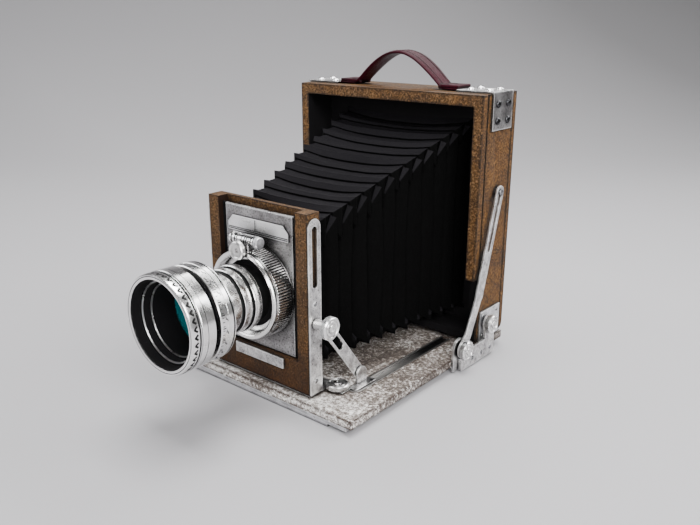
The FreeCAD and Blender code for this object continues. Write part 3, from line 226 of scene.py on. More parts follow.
def metalFinish(name, look):
    look = {**usualMetal, **look}
    tree, bsdf = newFinish(name)
    flat = placeOn(tree)
    clouds = grain(tree, flat, look["cloudScale"], 6, 0.65)
    pits = grain(tree, flat, look["pitScale"], 5, 0.75)
    colour = blendColour(tree, between(tree, clouds, 0.36, 0.64), look["dark"], look["light"])
    tarnish = between(tree, pits, look["pitLow"], look["pitLow"] + 0.1)
    colour = blendColour(tree, times(tree, tarnish, look["pitShare"]), colour,
                         look["tarnish"])
    # edges painted bright: rubbed metal, and a painted highlight along the edges
    edges = edgeShare(tree, look["edgeWidth"])
    colour = blendColour(tree, times(tree, edges, look["edgeShare"]), colour,
                         look["edge"])
    # painted shade: corners and gaps darkened almost to black
    shut = hollows(tree, look["gapReach"], *look["gapRange"])
    colour = blendColour(tree, shut, colour, (0.012, 0.011, 0.011))
    rough = between(tree, clouds, 0.35, 0.65, look["rough"][0], look["rough"][1])
    rough = combine(tree, "ADD", rough, times(tree, tarnish, 0.2))
    setShader(tree, bsdf, Base_Color=colour, Metallic=1.0, Roughness=rough)
    relief(tree, bsdf, combine(tree, "ADD", pits, times(tree, clouds, 0.5)),
           look["bump"])


def trackFinish(name):
    tree, bsdf = newFinish(name)
    flat = placeOn(tree)
    height = partOf(tree, flat, "Z")
    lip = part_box("track_left")[1].z
    bright = between(tree, height, lip - 0.5 * mm, lip - 0.2 * mm)
    worn = between(tree, grain(tree, flat, 300, 8, 0.7), 0.4, 0.6, 0.4, 1.0)
    # painted shadow: the track floor goes from grey at the front to near black towards the case
    reach = partOf(tree, flat, "Y")
    bed = blendColour(tree, between(tree, reach, -0.03, 0.03), (0.36, 0.35, 0.34),
                      (0.02, 0.02, 0.02))
    colour = blendColour(tree, times(tree, bright, worn), bed, (0.22, 0.21, 0.20))
    # painted shade: the track's corners and gaps darkened to near black
    colour = blendColour(tree, hollows(tree, 0.003, 0.7, 0.4), colour, (0.01, 0.01, 0.01))
    setShader(tree, bsdf, Base_Color=colour, Metallic=0.9,
              Roughness=between(tree, worn, 0.4, 1.0, 0.5, 0.3))


def domeFinish(name):
    tree, bsdf = newFinish(name)
    height = partOf(tree, placeOn(tree), "Z")
    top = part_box("case_shell")[1].z
    # painted light and shade: heads at the top of the case are painted bright, all lower heads dark
    bright = between(tree, height, top - 0.5 * mm, top)
    colour = blendColour(tree, bright, (0.05, 0.05, 0.053), (0.95, 0.95, 0.95))
    setShader(tree, bsdf, Base_Color=colour,
              Metallic=1.0, Roughness=0.22)


def leatherFinish(name, look):
    tree, bsdf = newFinish(name)
    flat = placeOn(tree)
    pebbles = addNode(tree, "ShaderNodeTexVoronoi", {"Vector": flat, "Scale": look["pebble"],
                                                     "Randomness": 1.0},
                      feature="DISTANCE_TO_EDGE").outputs["Distance"]
    creases = grain(tree, flat, 160, 8, 0.65, 0.4)
    clouds = grain(tree, flat, 22, 4)
    colour = blendColour(tree, between(tree, clouds, 0.3, 0.7), look["dark"], look["light"])
    colour = blendColour(tree, between(tree, creases, 0.55, 0.75, 0.0, 0.5), colour, look["crease"])
    edges = times(tree, edgeShare(tree, look["edgeWidth"]), look["edgeShare"])
    colour = blendColour(tree, edges, colour, look["edge"])
    # painted shade: corners and gaps darkened almost to black
    colour = blendColour(tree, hollows(tree, 0.006, 0.8, 0.3), colour, (0.0004, 0.0004, 0.0004))
    # painted light: faces that look upwards are made lighter
    if "top" in look:
        upward = between(tree, facingOf(tree, "Z"), 0.15, 0.6, 0.0, 0.8)
        colour = blendColour(tree, upward, colour, look["top"])
    setShader(tree, bsdf, Base_Color=colour, Specular_IOR_Level=look["shine"],
              Roughness=between(tree, clouds, 0.3, 0.7, *look["rough"]))
    height = combine(tree, "ADD", between(tree, pebbles, 0.0, 0.25), times(tree, creases, 1.2))
    relief(tree, bsdf, height, look["bump"])


def plainFinish(name, colour, roughness, **more):
    tree, bsdf = newFinish(name)
    flat = placeOn(tree)
    dust = grain(tree, flat, 140, 6, 0.65)
    tone = blendColour(tree, between(tree, dust, 0.35, 0.75), colour,
                       [min(1.0, part * 1.6 + 0.0006) for part in colour])
    setShader(tree, bsdf, Base_Color=tone,
              Roughness=between(tree, dust, 0.3, 0.7, roughness, roughness + 0.12), **more)


def makeFinishes():
    woodFinish("caseWood", {
        "light": (0.118, 0.050, 0.010), "dark": (0.046, 0.018, 0.004),
        "streak": (0.070, 0.034, 0.010), "speck": (0.004, 0.002, 0.001),
        "glint": (0.36, 0.20, 0.085),
        "stainAndShade": (0.004, 0.003, 0.002), "grainScale": (1, 1, 0.12), "crackScale": (0.5, 0.5, 3.0),
        "edgeWidth": 0.0032,
        "gapReach": 0.008, "front": (1.0, 1.08, 1.35)})
    woodFinish("standardWood", {
        "light": (0.098, 0.045, 0.012), "dark": (0.038, 0.016, 0.004),
        "streak": (0.060, 0.031, 0.012), "speck": (0.004, 0.002, 0.001),
        "glint": (0.28, 0.17, 0.085),
        "stainAndShade": (0.003, 0.002, 0.002), "grainScale": (1, 1, 0.12), "crackScale": (1.0, 0.5, 2.0),
        "edgeWidth": 0.0014,
        "gapReach": 0.008, "lowDark": (0.016, 0.085), "lowColour": (0.30, 0.19, 0.10)})
    paintedBoardFinish("paintedBoard")
    metalFinish("agedSteel", {
        "light": (0.84, 0.83, 0.82), "dark": (0.36, 0.35, 0.35), "tarnish": (0.06, 0.055, 0.05),
        "edge": (0.98, 0.98, 0.98), "cloudScale": 110, "pitScale": 620, "pitLow": 0.54,
        "pitShare": 0.8, "edgeWidth": 0.0011, "edgeShare": 0.9, "rough": (0.26, 0.46),
        "bump": 0.00012})
    metalFinish("plateMetal", {
        "light": (0.78, 0.78, 0.80), "dark": (0.34, 0.34, 0.35), "tarnish": (0.035, 0.035, 0.035),
        "edge": (0.88, 0.88, 0.88), "cloudScale": 80, "pitScale": 420, "pitLow": 0.57,
        "pitShare": 0.75, "edgeWidth": 0.0010, "rough": (0.3, 0.5),
        "bump": 0.00008})
    metalFinish("knobMetal", {
        "light": (0.92, 0.91, 0.90), "dark": (0.62, 0.61, 0.60), "tarnish": (0.10, 0.09, 0.085),
        "cloudScale": 150, "pitScale": 900, "pitLow": 0.6,
        "edgeWidth": 0.0006, "rough": (0.24, 0.38),
        "bump": 0.00005, "gapReach": 0.0022})
    metalFinish("panelMetal", {
        "light": (0.56, 0.55, 0.55), "dark": (0.22, 0.21, 0.21), "tarnish": (0.02, 0.019, 0.018),
        "cloudScale": 42, "pitScale": 560, "pitLow": 0.52,
        "pitShare": 0.85, "edgeWidth": 0.0020, "edgeShare": 0.95, "rough": (0.26, 0.44),
        "bump": 0.00012, "gapReach": 0.016, "gapRange": (0.97, 0.56)})
    metalFinish("lensMetal", {
        "light": (0.97, 0.965, 0.96), "dark": (0.80, 0.79, 0.78), "tarnish": (0.26, 0.25, 0.24),
        "cloudScale": 60, "pitScale": 420, "pitLow": 0.6,
        "edgeWidth": 0.0008, "rough": (0.15, 0.27),
        "bump": 0.00003, "gapReach": 0.005, "gapRange": (0.86, 0.5)})
    metalFinish("screwMetal", {
        "light": (0.40, 0.40, 0.41), "dark": (0.12, 0.12, 0.125), "tarnish": (0.02, 0.02, 0.02),
        "edge": (0.95, 0.95, 0.95), "cloudScale": 300, "pitScale": 900, "pitLow": 0.55,
        "pitShare": 0.6, "edgeWidth": 0.0004, "edgeShare": 0.6, "rough": (0.2, 0.35),
        "bump": 0.00003, "gapReach": 0.0015})
    metalFinish("bushBrass", {
        "light": (0.72, 0.52, 0.22), "dark": (0.42, 0.28, 0.10), "tarnish": (0.12, 0.07, 0.03),
        "edge": (0.9, 0.75, 0.42), "cloudScale": 120, "pitScale": 700, "pitLow": 0.58,
        "pitShare": 0.6, "edgeWidth": 0.0005, "edgeShare": 0.6, "rough": (0.25, 0.4),
        "bump": 0.00004, "gapReach": 0.001})
    trackFinish("trackMetal")
    domeFinish("domeMetal")
    # near-black wood: painted shade for the posts' inner sides
    plainFinish("postGapShade", (0.008, 0.0035, 0.0018), 0.7, Specular_IOR_Level=0.1)
    leatherFinish("bellowsLeather", {
        "light": (0.0036, 0.0033, 0.0042), "dark": (0.0010, 0.0008, 0.0011),
        "crease": (0.002, 0.002, 0.002), "edge": (0.0006, 0.0006, 0.0006), "edgeWidth": 0.0010,
        "edgeShare": 1.0, "rough": (0.62, 0.76), "pebble": 900, "bump": 0.00016, "shine": 0.04,
        "top": (0.0088, 0.0081, 0.0095)})
    leatherFinish("handleLeather", {
        "light": (0.036, 0.0022, 0.008), "dark": (0.012, 0.0010, 0.0030),
        "crease": (0.010, 0.002, 0.003), "edge": (0.004, 0.001, 0.0015), "edgeWidth": 0.0011,
        "edgeShare": 0.85, "rough": (0.34, 0.48), "pebble": 700, "bump": 0.00016, "shine": 0.07})
    plainFinish("blackPaint", (0.0022, 0.0022, 0.0022), 0.5, Specular_IOR_Level=0.2)
    plainFinish("blackInside", (0.0015, 0.0012, 0.0016), 0.8, Specular_IOR_Level=0.15)
    plainFinish("thread", (0.02, 0.006, 0.008), 0.6)
    plainFinish("tealGlass", (0.001, 0.10, 0.115), 0.08)
    plainFinish("frostedGlass", (0.42, 0.45, 0.44), 0.55, Transmission_Weight=0.35)
    print("finishes made:", len(finishes))


# small helpers for meshes
def meshObject(name, mesh, finish=None):
    piece = bpy.data.objects.new(name, mesh)
    bpy.context.scene.collection.objects.link(piece)
    if finish:
        mesh.materials.clear()
        mesh.materials.append(finishes[finish])
    return piece


def meshFrom(name, shape):
    mesh = bpy.data.meshes.new(name)
    shape.to_mesh(mesh)
    shape.free()
    return mesh


def fromBmesh(name, shape, finish=None, smoothAngle=32):
    bmesh.ops.recalc_face_normals(shape, faces=shape.faces)
    mesh = meshFrom(name, shape)
    shadeByAngle(mesh, smoothAngle)
    return meshObject(name, mesh, finish)


def shadeByAngle(mesh, degrees):
    mesh.shade_smooth()
    mesh.set_sharp_from_angle(angle=math.radians(degrees))


def bevelled(piece, width, segments=2, angle=30):
    bevel = piece.modifiers.new("edges", "BEVEL")
    bevel.width = width
    bevel.segments = segments
    bevel.limit_method = "ANGLE"
    bevel.angle_limit = math.radians(angle)
    bevel.harden_normals = True
    return piece


# the piece with its modifiers made real
def applied(piece):
    graph = bpy.context.evaluated_depsgraph_get()
    mesh = bpy.data.meshes.new_from_object(piece.evaluated_get(graph))
    piece.modifiers.clear()
    piece.data = mesh
    return piece


def mount(piece, body, *nodes, slot=None):
    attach(piece, body)
    if nodes:
        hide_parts(*nodes)
    return piece


# a CAD piece with rounded edges
def refined(node, body, finish, slot, bevel=0.5):
    shape = bmesh.new()
    shape.from_mesh(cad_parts[node].data)
    bmesh.ops.remove_doubles(shape, verts=shape.verts, dist=2e-6)
    bmesh.ops.dissolve_limit(shape, angle_limit=math.radians(1.0), verts=shape.verts,
                             edges=shape.edges)
    mesh = meshFrom(node + "_fine", shape)
    shadeByAngle(mesh, 30)
    piece = meshObject(node + "_fine", mesh, finish)
    bevelled(piece, bevel * mm, 2, 34)
    applied(piece)
    return mount(piece, body, node, slot=slot)


# a turned piece: outline is (along, radius) in millimetres, in order round the section
def lathe(name, outline, axis, centre, finish, segments=128, closed=True):
    shape = bmesh.new()
    rings = []
    turn = axisTurn[axis]
    for along, radius in outline:
        count = 1 if radius < 1e-6 else segments
        angles = [math.tau * step / segments for step in range(count)]
        rings.append([shape.verts.new(turn @ Vector((radius * mm * math.cos(angle),
                                                     radius * mm * math.sin(angle), along * mm)))
                      for angle in angles])
    pairs = list(zip(rings, rings[1:])) + ([(rings[-1], rings[0])] if closed else [])
    for first, second in pairs:
        if len(first) == 1 and len(second) == 1:
            continue
        for step in range(segments):
            after = (step + 1) % segments
            corners = [first[step % len(first)], first[after % len(first)],
                       second[after % len(second)], second[step % len(second)]]
            shape.faces.new(list(dict.fromkeys(corners)))
    bmesh.ops.translate(shape, verts=shape.verts, vec=Vector(centre) * mm)
    return fromBmesh(name, shape, finish)


# faces between rows of points, each row closed on itself
def bridge(shape, rows):
    for first, second in zip(rows, rows[1:]):
        for k in range(len(first)):
            after = (k + 1) % len(first)
            shape.faces.new((first[k], second[k], second[after], first[after]))


# a small block about its own centre, in millimetres
def barMesh(name, size, bevel=0.0):
    shape = bmesh.new()
    bmesh.ops.create_cube(shape, size=1.0)
    bmesh.ops.scale(shape, verts=shape.verts, vec=Vector(size) * mm)
    if bevel:
        bmesh.ops.bevel(shape, geom=shape.edges[:], offset=bevel * mm, segments=1,
                        affect="EDGES", profile=0.5)
    return meshFrom(name, shape)


# a small block with its centre at a place in metres
def barAt(name, size, place, finish, bevel):
    mesh = barMesh(name, size, bevel)
    mesh.transform(Matrix.Translation(Vector(place)))
    return meshObject(name, mesh, finish)


# several meshes as one piece, each with its own finish
def joined(name, pieces):
    shape = bmesh.new()
    used = []
    for piece in pieces:
        start = len(shape.faces)
        shape.from_mesh(piece.data)
        shape.faces.ensure_lookup_table()
        base = {}
        for index, material in enumerate(piece.data.materials):
            if material not in used:
                used.append(material)
            base[index] = used.index(material)
        for face in shape.faces[start:]:
            face.material_index = base.get(face.material_index, 0)
        bpy.data.objects.remove(piece)
    mesh = meshFrom(name, shape)
    for material in used:
        mesh.materials.append(material)
    return meshObject(name, mesh)


# Geometry Nodes: a thing repeated round a ring, and a thing set at marked places
def socketId(tree, name):
    return next(item.identifier for item in tree.interface.items_tree if item.name == name)


def newTree(name, numbers):
    tree = bpy.data.node_groups.new(name, "GeometryNodeTree")
    tree.interface.new_socket("Geometry", in_out="INPUT", socket_type="NodeSocketGeometry")
    for label, kind in numbers.items():
        tree.interface.new_socket(label, in_out="INPUT", socket_type=kind)
    tree.interface.new_socket("Geometry", in_out="OUTPUT", socket_type="NodeSocketGeometry")
    return tree, addNode(tree, "NodeGroupInput"), addNode(tree, "NodeGroupOutput")


def finishTree(tree, start, instances, end):
    real = addNode(tree, "GeometryNodeRealizeInstances", {"Geometry": instances})
    painted = addNode(tree, "GeometryNodeSetMaterial", {"Geometry": real.outputs["Geometry"],
                                                        "Material": start.outputs["Finish"]})
    tree.links.new(painted.outputs["Geometry"], end.inputs["Geometry"])


def ringTree():
    tree, start, end = newTree("roundTheRing", {
        "Item": "NodeSocketObject", "Count": "NodeSocketInt", "Radius": "NodeSocketFloat",
        "First": "NodeSocketFloat", "Finish": "NodeSocketMaterial"})
    circle = addNode(tree, "GeometryNodeMeshCircle", {"Vertices": start.outputs["Count"],
                                                      "Radius": start.outputs["Radius"]})
    where = addNode(tree, "GeometryNodeInputPosition")
    aim = addNode(tree, "FunctionNodeAlignRotationToVector", {"Vector": where.outputs[0]},
                  axis="X", pivot_axis="Z")
    item = addNode(tree, "GeometryNodeObjectInfo", {"Object": start.outputs["Item"]})
    placed = addNode(tree, "GeometryNodeInstanceOnPoints", {
        "Points": circle.outputs["Mesh"], "Instance": item.outputs["Geometry"],
        "Rotation": aim.outputs["Rotation"]})
    spin = addNode(tree, "ShaderNodeCombineXYZ", {"Z": start.outputs["First"]})
    turned = addNode(tree, "GeometryNodeTransform", {"Geometry": placed.outputs["Instances"],
                                                     "Rotation": spin.outputs[0]})
    finishTree(tree, start, turned.outputs["Geometry"], end)
    return tree


def placesTree():
    tree, start, end = newTree("atThePlaces", {"Item": "NodeSocketObject",
                                               "Finish": "NodeSocketMaterial"})
    facing = addNode(tree, "GeometryNodeInputNamedAttribute", {"Name": "facing"},
                     data_type="FLOAT_VECTOR")
    turn = addNode(tree, "GeometryNodeInputNamedAttribute", {"Name": "turn"}, data_type="FLOAT")
    aim = addNode(tree, "FunctionNodeAlignRotationToVector",
                  {"Vector": facing.outputs["Attribute"]}, axis="Z")
    own = addNode(tree, "FunctionNodeAxisAngleToRotation", {"Angle": turn.outputs["Attribute"]})
    both = addNode(tree, "FunctionNodeRotateRotation", {"Rotation": aim.outputs["Rotation"],
                                                       "Rotate By": own.outputs["Rotation"]},
                   rotation_space="LOCAL")
    item = addNode(tree, "GeometryNodeObjectInfo", {"Object": start.outputs["Item"]})
    placed = addNode(tree, "GeometryNodeInstanceOnPoints", {
        "Points": start.outputs["Geometry"], "Instance": item.outputs["Geometry"],
        "Rotation": both.outputs["Rotation"]})
    finishTree(tree, start, placed.outputs["Instances"], end)
    return tree


# run a tree and keep the result as a plain mesh
def grown(name, tree, values, base=None, place=None, smoothAngle=None):
    holder = meshObject(name + "_holder", base or bpy.data.meshes.new(name + "_base"))
    modifier = holder.modifiers.new("grow", "NODES")
    modifier.node_group = tree
    for label, value in values.items():
        modifier[socketId(tree, label)] = value
    holder.update_tag()
    graph = bpy.context.evaluated_depsgraph_get()
    graph.update()
    mesh = bpy.data.meshes.new_from_object(holder.evaluated_get(graph))
    bpy.data.objects.remove(holder)
    if place:
        mesh.transform(place)
    if smoothAngle:
        shadeByAngle(mesh, smoothAngle)
    return meshObject(name, mesh)


# grow copies of a mesh, then drop the mesh that was copied
def copies(name, item, kind, finish, values=None, **more):
    source = meshObject(name + "_item", item)
    piece = grown(name, trees[kind], {"Item": source, "Finish": finishes[finish],
                                      **(values or {})}, **more)
    bpy.data.objects.remove(source)
    return piece


# copies of a mesh round an axis; the item's X points outwards and its Z along the axis
def ringOf(name, item, count, radius, axis, centre, finish, first=0.0):
    return copies(name, item, "ring", finish, {"Count": count, "Radius": radius * mm,
                                               "First": first},
                  place=Matrix.Translation(Vector(centre) * mm) @ axisTurn[axis])


# a domed head with a slot, its seat at Z = 0
def screwHead(name, radius, height, slotWidth):
    shape = bmesh.new()
    rows = 7
    segments = 28
    rim = 0.22 * height
    ring = [(radius, 0.0), (radius, rim)]
    for step in range(1, rows + 1):
        angle = math.radians(90) * step / rows
        ring.append((radius * math.cos(angle), rim + (height - rim) * math.sin(angle)))
    for side in (-1, 1):
        half = bmesh.new()
        grid = [[half.verts.new((r * math.cos(math.tau * k / segments),
                                 r * math.sin(math.tau * k / segments), z))
                 for k in range(segments)] for r, z in ring[:-1]]
        crown = half.verts.new((0, 0, height))
        half.faces.new(list(reversed(grid[0])))
        bridge(half, grid)
        for k in range(segments):
            half.faces.new((grid[-1][k], grid[-1][(k + 1) % segments], crown))
        cut = bmesh.ops.bisect_plane(half, geom=half.verts[:] + half.edges[:] + half.faces[:],
                                     plane_co=(side * slotWidth / 2, 0, 0), plane_no=(-side, 0, 0),
                                     clear_outer=True)
        loops = [item for item in cut["geom_cut"] if isinstance(item, bmesh.types.BMEdge)]
        bmesh.ops.contextual_create(half, geom=loops)
        mesh = meshFrom("halfHead", half)
        shape.from_mesh(mesh)
        bpy.data.meshes.remove(mesh)
    floor = bmesh.ops.create_cone(shape, cap_ends=True, segments=segments, radius1=radius * 0.97,
                                  radius2=radius * 0.9, depth=height * 0.4)
    bmesh.ops.translate(shape, verts=floor["verts"], vec=(0, 0, height * 0.2))
    bmesh.ops.recalc_face_normals(shape, faces=shape.faces)
    mesh = meshFrom(name, shape)
    shadeByAngle(mesh, 35)
    return mesh


# head centre, direction and head radius of each loose solid of a CAD node
def fastenerPlaces(node):
    shape = bmesh.new()
    shape.from_mesh(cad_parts[node].data)
    bmesh.ops.remove_doubles(shape, verts=shape.verts, dist=2e-6)
    seen = set()
    found = []
    for start in shape.verts:
        if start in seen:
            continue
        stack = [start]
        island = []
        seen.add(start)
        while stack:
            vertex = stack.pop()
            island.append(vertex.co.copy())
            for edge in vertex.link_edges:
                other = edge.other_vert(vertex)
                if other not in seen:
                    seen.add(other)
                    stack.append(other)
        low = Vector([min(co[k] for co in island) for k in range(3)])
        high = Vector([max(co[k] for co in island) for k in range(3)])
        size = high - low
        axis = max(range(3), key=lambda k: size[k])
        centre = (low + high) / 2

        def reach(level):
            flat = [co - centre for co in island if abs(co[axis] - level) < 0.02 * mm]
            return max((Vector([part[k] for k in range(3) if k != axis]).length
                        for part in flat), default=0.0)
        headUp = reach(high[axis]) > reach(low[axis])
        level = high[axis] if headUp else low[axis]
        facing = Vector((0, 0, 0))
        facing[axis] = 1 if headUp else -1
        head = centre.copy()
        head[axis] = level
        found.append((head, facing, reach(level)))
    shape.free()
    return found


def aimPoints(mesh, directions, seed=None):
    for name, kind in (("facing", "FLOAT_VECTOR"), ("turn", "FLOAT")):
        mesh.attributes.new(name, kind, "POINT")
    chance = random.Random(seed)
    for index, direction in enumerate(directions):
        mesh.attributes["facing"].data[index].vector = direction
        mesh.attributes["turn"].data[index].value = chance.uniform(0, math.pi) if seed else 0.0


# every screw of a CAD node as a domed, slotted head; the head's crown is where CAD's is
def screwSet(node, body, finish, height, slot="screw_steel"):
    places = fastenerPlaces(node)
    radius = max(place[2] for place in places)
    base = bpy.data.meshes.new(node + "_places")
    base.from_pydata([place[0] - place[1] * height * mm for place in places], [], [])
    aimPoints(base, [place[1] for place in places], 7)
    head = screwHead(node + "_head", radius, height * mm, radius * 0.3)
    mount(copies(node + "_heads", head, "places", finish, base=base, smoothAngle=35), body, node,
          slot=slot)


# woodwork
def paintFaces(piece, finish, chosen):
    piece.data.materials.append(finishes[finish])
    for face in piece.data.polygons:
        if chosen(face):
            face.material_index = 1


def makeWoodwork():
    refined("bed_board", "bed", "paintedBoard", "painted_board", 0.7)
    shellLow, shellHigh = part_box("case_shell")
    wood = {"skin": 2.0, "frontSkin": 0.3, "post": 13.0}
    skin = wood["skin"] * mm
    low = Vector((shellLow.x + skin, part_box("front_frame")[0].y + wood["frontSkin"] * mm,
                  shellLow.z + skin))
    high = Vector((shellHigh.x - skin, shellHigh.y + skin, shellHigh.z - skin))
    for node, bevel in (("case_shell", 0.5), ("front_frame", 0.7), ("rear_frame", 0.7)):
        paintFaces(refined(node, "case", "caseWood", "worn_wood", bevel), "blackInside",
                   lambda face: all(low[k] < face.center[k] < high[k] for k in range(3)))
    refined("bellows_frame", "case", "blackInside", "black_frame", 0.4)
    refined("screen_frame", "screen", "caseWood", "worn_wood", 0.7)
    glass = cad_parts["ground_glass"]
    glass.data.materials.clear()
    glass.data.materials.append(finishes["frostedGlass"])
    posts = refined("standard_frame", "standard", "standardWood", "standard_wood", 0.7)
    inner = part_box("standard_frame")[1].x - wood["post"] * mm
    # painted shade: the posts' inner sides, facing the lens panel, are painted near black
    paintFaces(posts, "postGapShade",
               lambda face: abs(face.normal.x) > 0.9 and abs(face.center.x) < inner)
    print("woodwork made")


# flat metal
def makeMetalwork():
    plain = [("sole_plate", "bed", "plateMetal", "plate_metal", 0.4),
             ("tripod_plate", "bed", "plateMetal", "plate_metal", 0.4),
             ("carriage_plate", "carriage", "agedSteel", "aged_steel", 0.25),
             ("base_bar", "standard", "agedSteel", "aged_steel", 0.4),
             ("case_pivots", "case", "screwMetal", "screw_steel", 0.25),
             ("stay_studs", "case", "screwMetal", "screw_steel", 0.25),
             ("brace_studs", "standard", "knobMetal", "screw_steel", 0.25),
             ("tilt_pin", "standard", "screwMetal", "screw_steel", 0.2)]
    sided = [("track", "bed", "trackMetal", "track_metal", 0.25),
             ("side_bracket", "bed", "agedSteel", "aged_steel", 0.35),
             ("corner_plate", "case", "panelMetal", "plate_metal", 0.4),
             ("hinge_plate", "case", "plateMetal", "plate_metal", 0.4),
             ("brace_foot", "carriage", "agedSteel", "aged_steel", 0.3),
             ("side_strap", "standard", "agedSteel", "aged_steel", 0.35)]
    for side in ("left", "right"):
        plain += [(name + "_" + side, *rest) for name, *rest in sided]
        for name in ("stay", "brace"):
            plain.append((f"{name}_{side}", f"{name}_{side}", "agedSteel", "aged_steel", 0.3))
    for node, body, finish, slot, bevel in plain:
        refined(node, body, finish, slot, bevel)
    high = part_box("tripod_bush")[1]
    bush = {"outer": high.x / mm, "root": 4.6, "crest": 3.97, "pitch": 1.6, "top": high.z / mm}
    thread = [(0.0, bush["root"])]
    turns = int(bush["top"] / bush["pitch"])
    for index in range(turns):
        thread.append(((index + 0.5) * bush["pitch"], bush["crest"]))
        thread.append(((index + 1) * bush["pitch"], bush["root"]))
    outline = thread + [(bush["top"], bush["root"]), (bush["top"], bush["outer"]),
                        (0.0, bush["outer"])]
    mount(lathe("bush", outline, "z", (0, 0, 0), "bushBrass", 64), "bed", "tripod_bush",
          slot="bush_brass")
    print("flat metal made")


def makeScrews():
    screwSet("wood_screws", "bed", "screwMetal", 1.2)
    screwSet("corner_screws", "case", "domeMetal", 2.35)
    screwSet("hinge_plate_screws", "case", "screwMetal", 1.4)
    screwSet("handle_screws", "case", "screwMetal", 1.6)
    screwSet("strap_screws", "standard", "screwMetal", 1.1)
    print("screws made")


# leaf springs: on each side two strips that taper towards the outer end, built where the CAD
# springs are
def makeSprings():
    spring = {"steps": 60, "height": 9.0, "clear": 0.4, "held": 1.5}
    low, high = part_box("screen_springs")
    height = spring["height"] * mm
    thick = high.y - low.y
    shapes = {}
    for label, sign in (("left", -1), ("right", 1)):
        shape = bmesh.new()
        for bottom in (low.z, high.z - height):
            rows = []
            for step in range(spring["steps"] + 1):
                x = sign * high.x * step / spring["steps"]
                narrow = 1 - 0.35 * (step / spring["steps"]) ** 3
                half = height / 2 * narrow
                middle = bottom + height / 2
                rows.append([shape.verts.new((x, y, z)) for y, z in (
                    (low.y, middle - half), (low.y + thick * 0.7, middle - half),
                    (low.y + thick * 0.7, middle + half), (low.y, middle + half))])
            bridge(shape, rows)
            shape.faces.new(rows[0])
            shape.faces.new(rows[-1])
        shapes[label] = fromBmesh("leafSpring_" + label, shape, "agedSteel")
        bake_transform(shapes[label])
    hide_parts("screen_springs")
    print("springs made")


# bellows: ridges on top are valleys at the sides, so each corner folds into a diamond
bellows = {"pleats": 12, "topDepth": 4.6, "sideDepth": 6.8, "sagRear": 7.0, "sagFront": 3.4,
           "tip": 23.0, "lean": 1.1, "topPoints": 19, "sidePoints": 15, "bottomPoints": 11,
           "skin": 0.7, "frontHalf": 50.8, "frontTop": 166.0, "splits": (8, 36)}


# one loop of points at a share of the way from the standard to the case
def bellowsSection(part, low, high, front, rear):
    pleats = bellows["pleats"]
    step = part % 4
    pleat = part // 4
    share = (part + (bellows["lean"] if step == 2 else 0.0)) / (4 * pleats)
    ridge = (1.0, 0.46, 0.0, 0.46)[step]
    sag = (bellows["sagFront"] + (bellows["sagRear"] - bellows["sagFront"]) * share) * mm
    half = front["half"] + (rear["half"] - front["half"]) * share
    top = front["top"] + (rear["top"] - front["top"]) * share
    bottom = low.z
    y = low.y + (high.y - low.y) * share
    chance = random.Random(31 + pleat)
    hold = math.sin(math.pi * min(1, share * 6, (1 - share) * 6) / 2)
    lean = chance.uniform(-2.6, 2.6) * mm * hold
    topDepth = bellows["topDepth"] * mm
    sideDepth = bellows["sideDepth"] * mm
    tipX = half - (1 - ridge) * sideDepth
    topZ = top - (1 - ridge) * topDepth
    wall = half - ridge * sideDepth
    drop = bellows["tip"] * (0.75 + 0.5 * (1 - share)) * chance.uniform(0.85, 1.15) * mm
    points = []
    count = bellows["topPoints"]
    for index in range(count):
        across = -1 + 2 * index / (count - 1)
        dip = sag * (1 - abs(across) ** 2.4) * (0.8 + 0.2 * math.sin(pleat * 2.4))
        points.append((tipX * across, y + lean * across, topZ - dip))
    tipZ = topZ - 0.8 * mm - ridge * drop
    foldZ = topZ - 2.4 * mm - ridge * (drop + 2.2 * mm)
    count = bellows["sidePoints"]
    foot = bottom + 3.0 * mm + ridge * drop * 0.5
    side = [(tipX, y + lean, tipZ)]
    for index in range(count):
        down = index / (count - 1)
        droop = math.sin(math.pi * down) * sideDepth * 0.3 * math.sin(pleat * 1.7 + down * 2.2)
        side.append((wall + droop * 0.4, y + droop * 1.1 + lean * (1 - down),
                     foldZ + (foot - foldZ) * down))
    side.append((tipX, y, bottom + (1 - ridge) * 3.0 * mm + 0.6 * mm + ridge * drop * 0.3))
    points += side
    count = bellows["bottomPoints"]
    for index in range(count):
        across = 1 - 2 * index / (count - 1)
        points.append((tipX * across, y, bottom + (1 - ridge) * 3.0 * mm))
    points += [(-x, 2 * y - y2, z) for x, y2, z in reversed(side)]
    wobble = 0.35 * mm
    return [Vector(p) + wobble * Vector((noise.noise(Vector(p) * 90), 0,
                                         noise.noise(Vector(p) * 90 + Vector((5, 5, 5)))))
            for p in points]


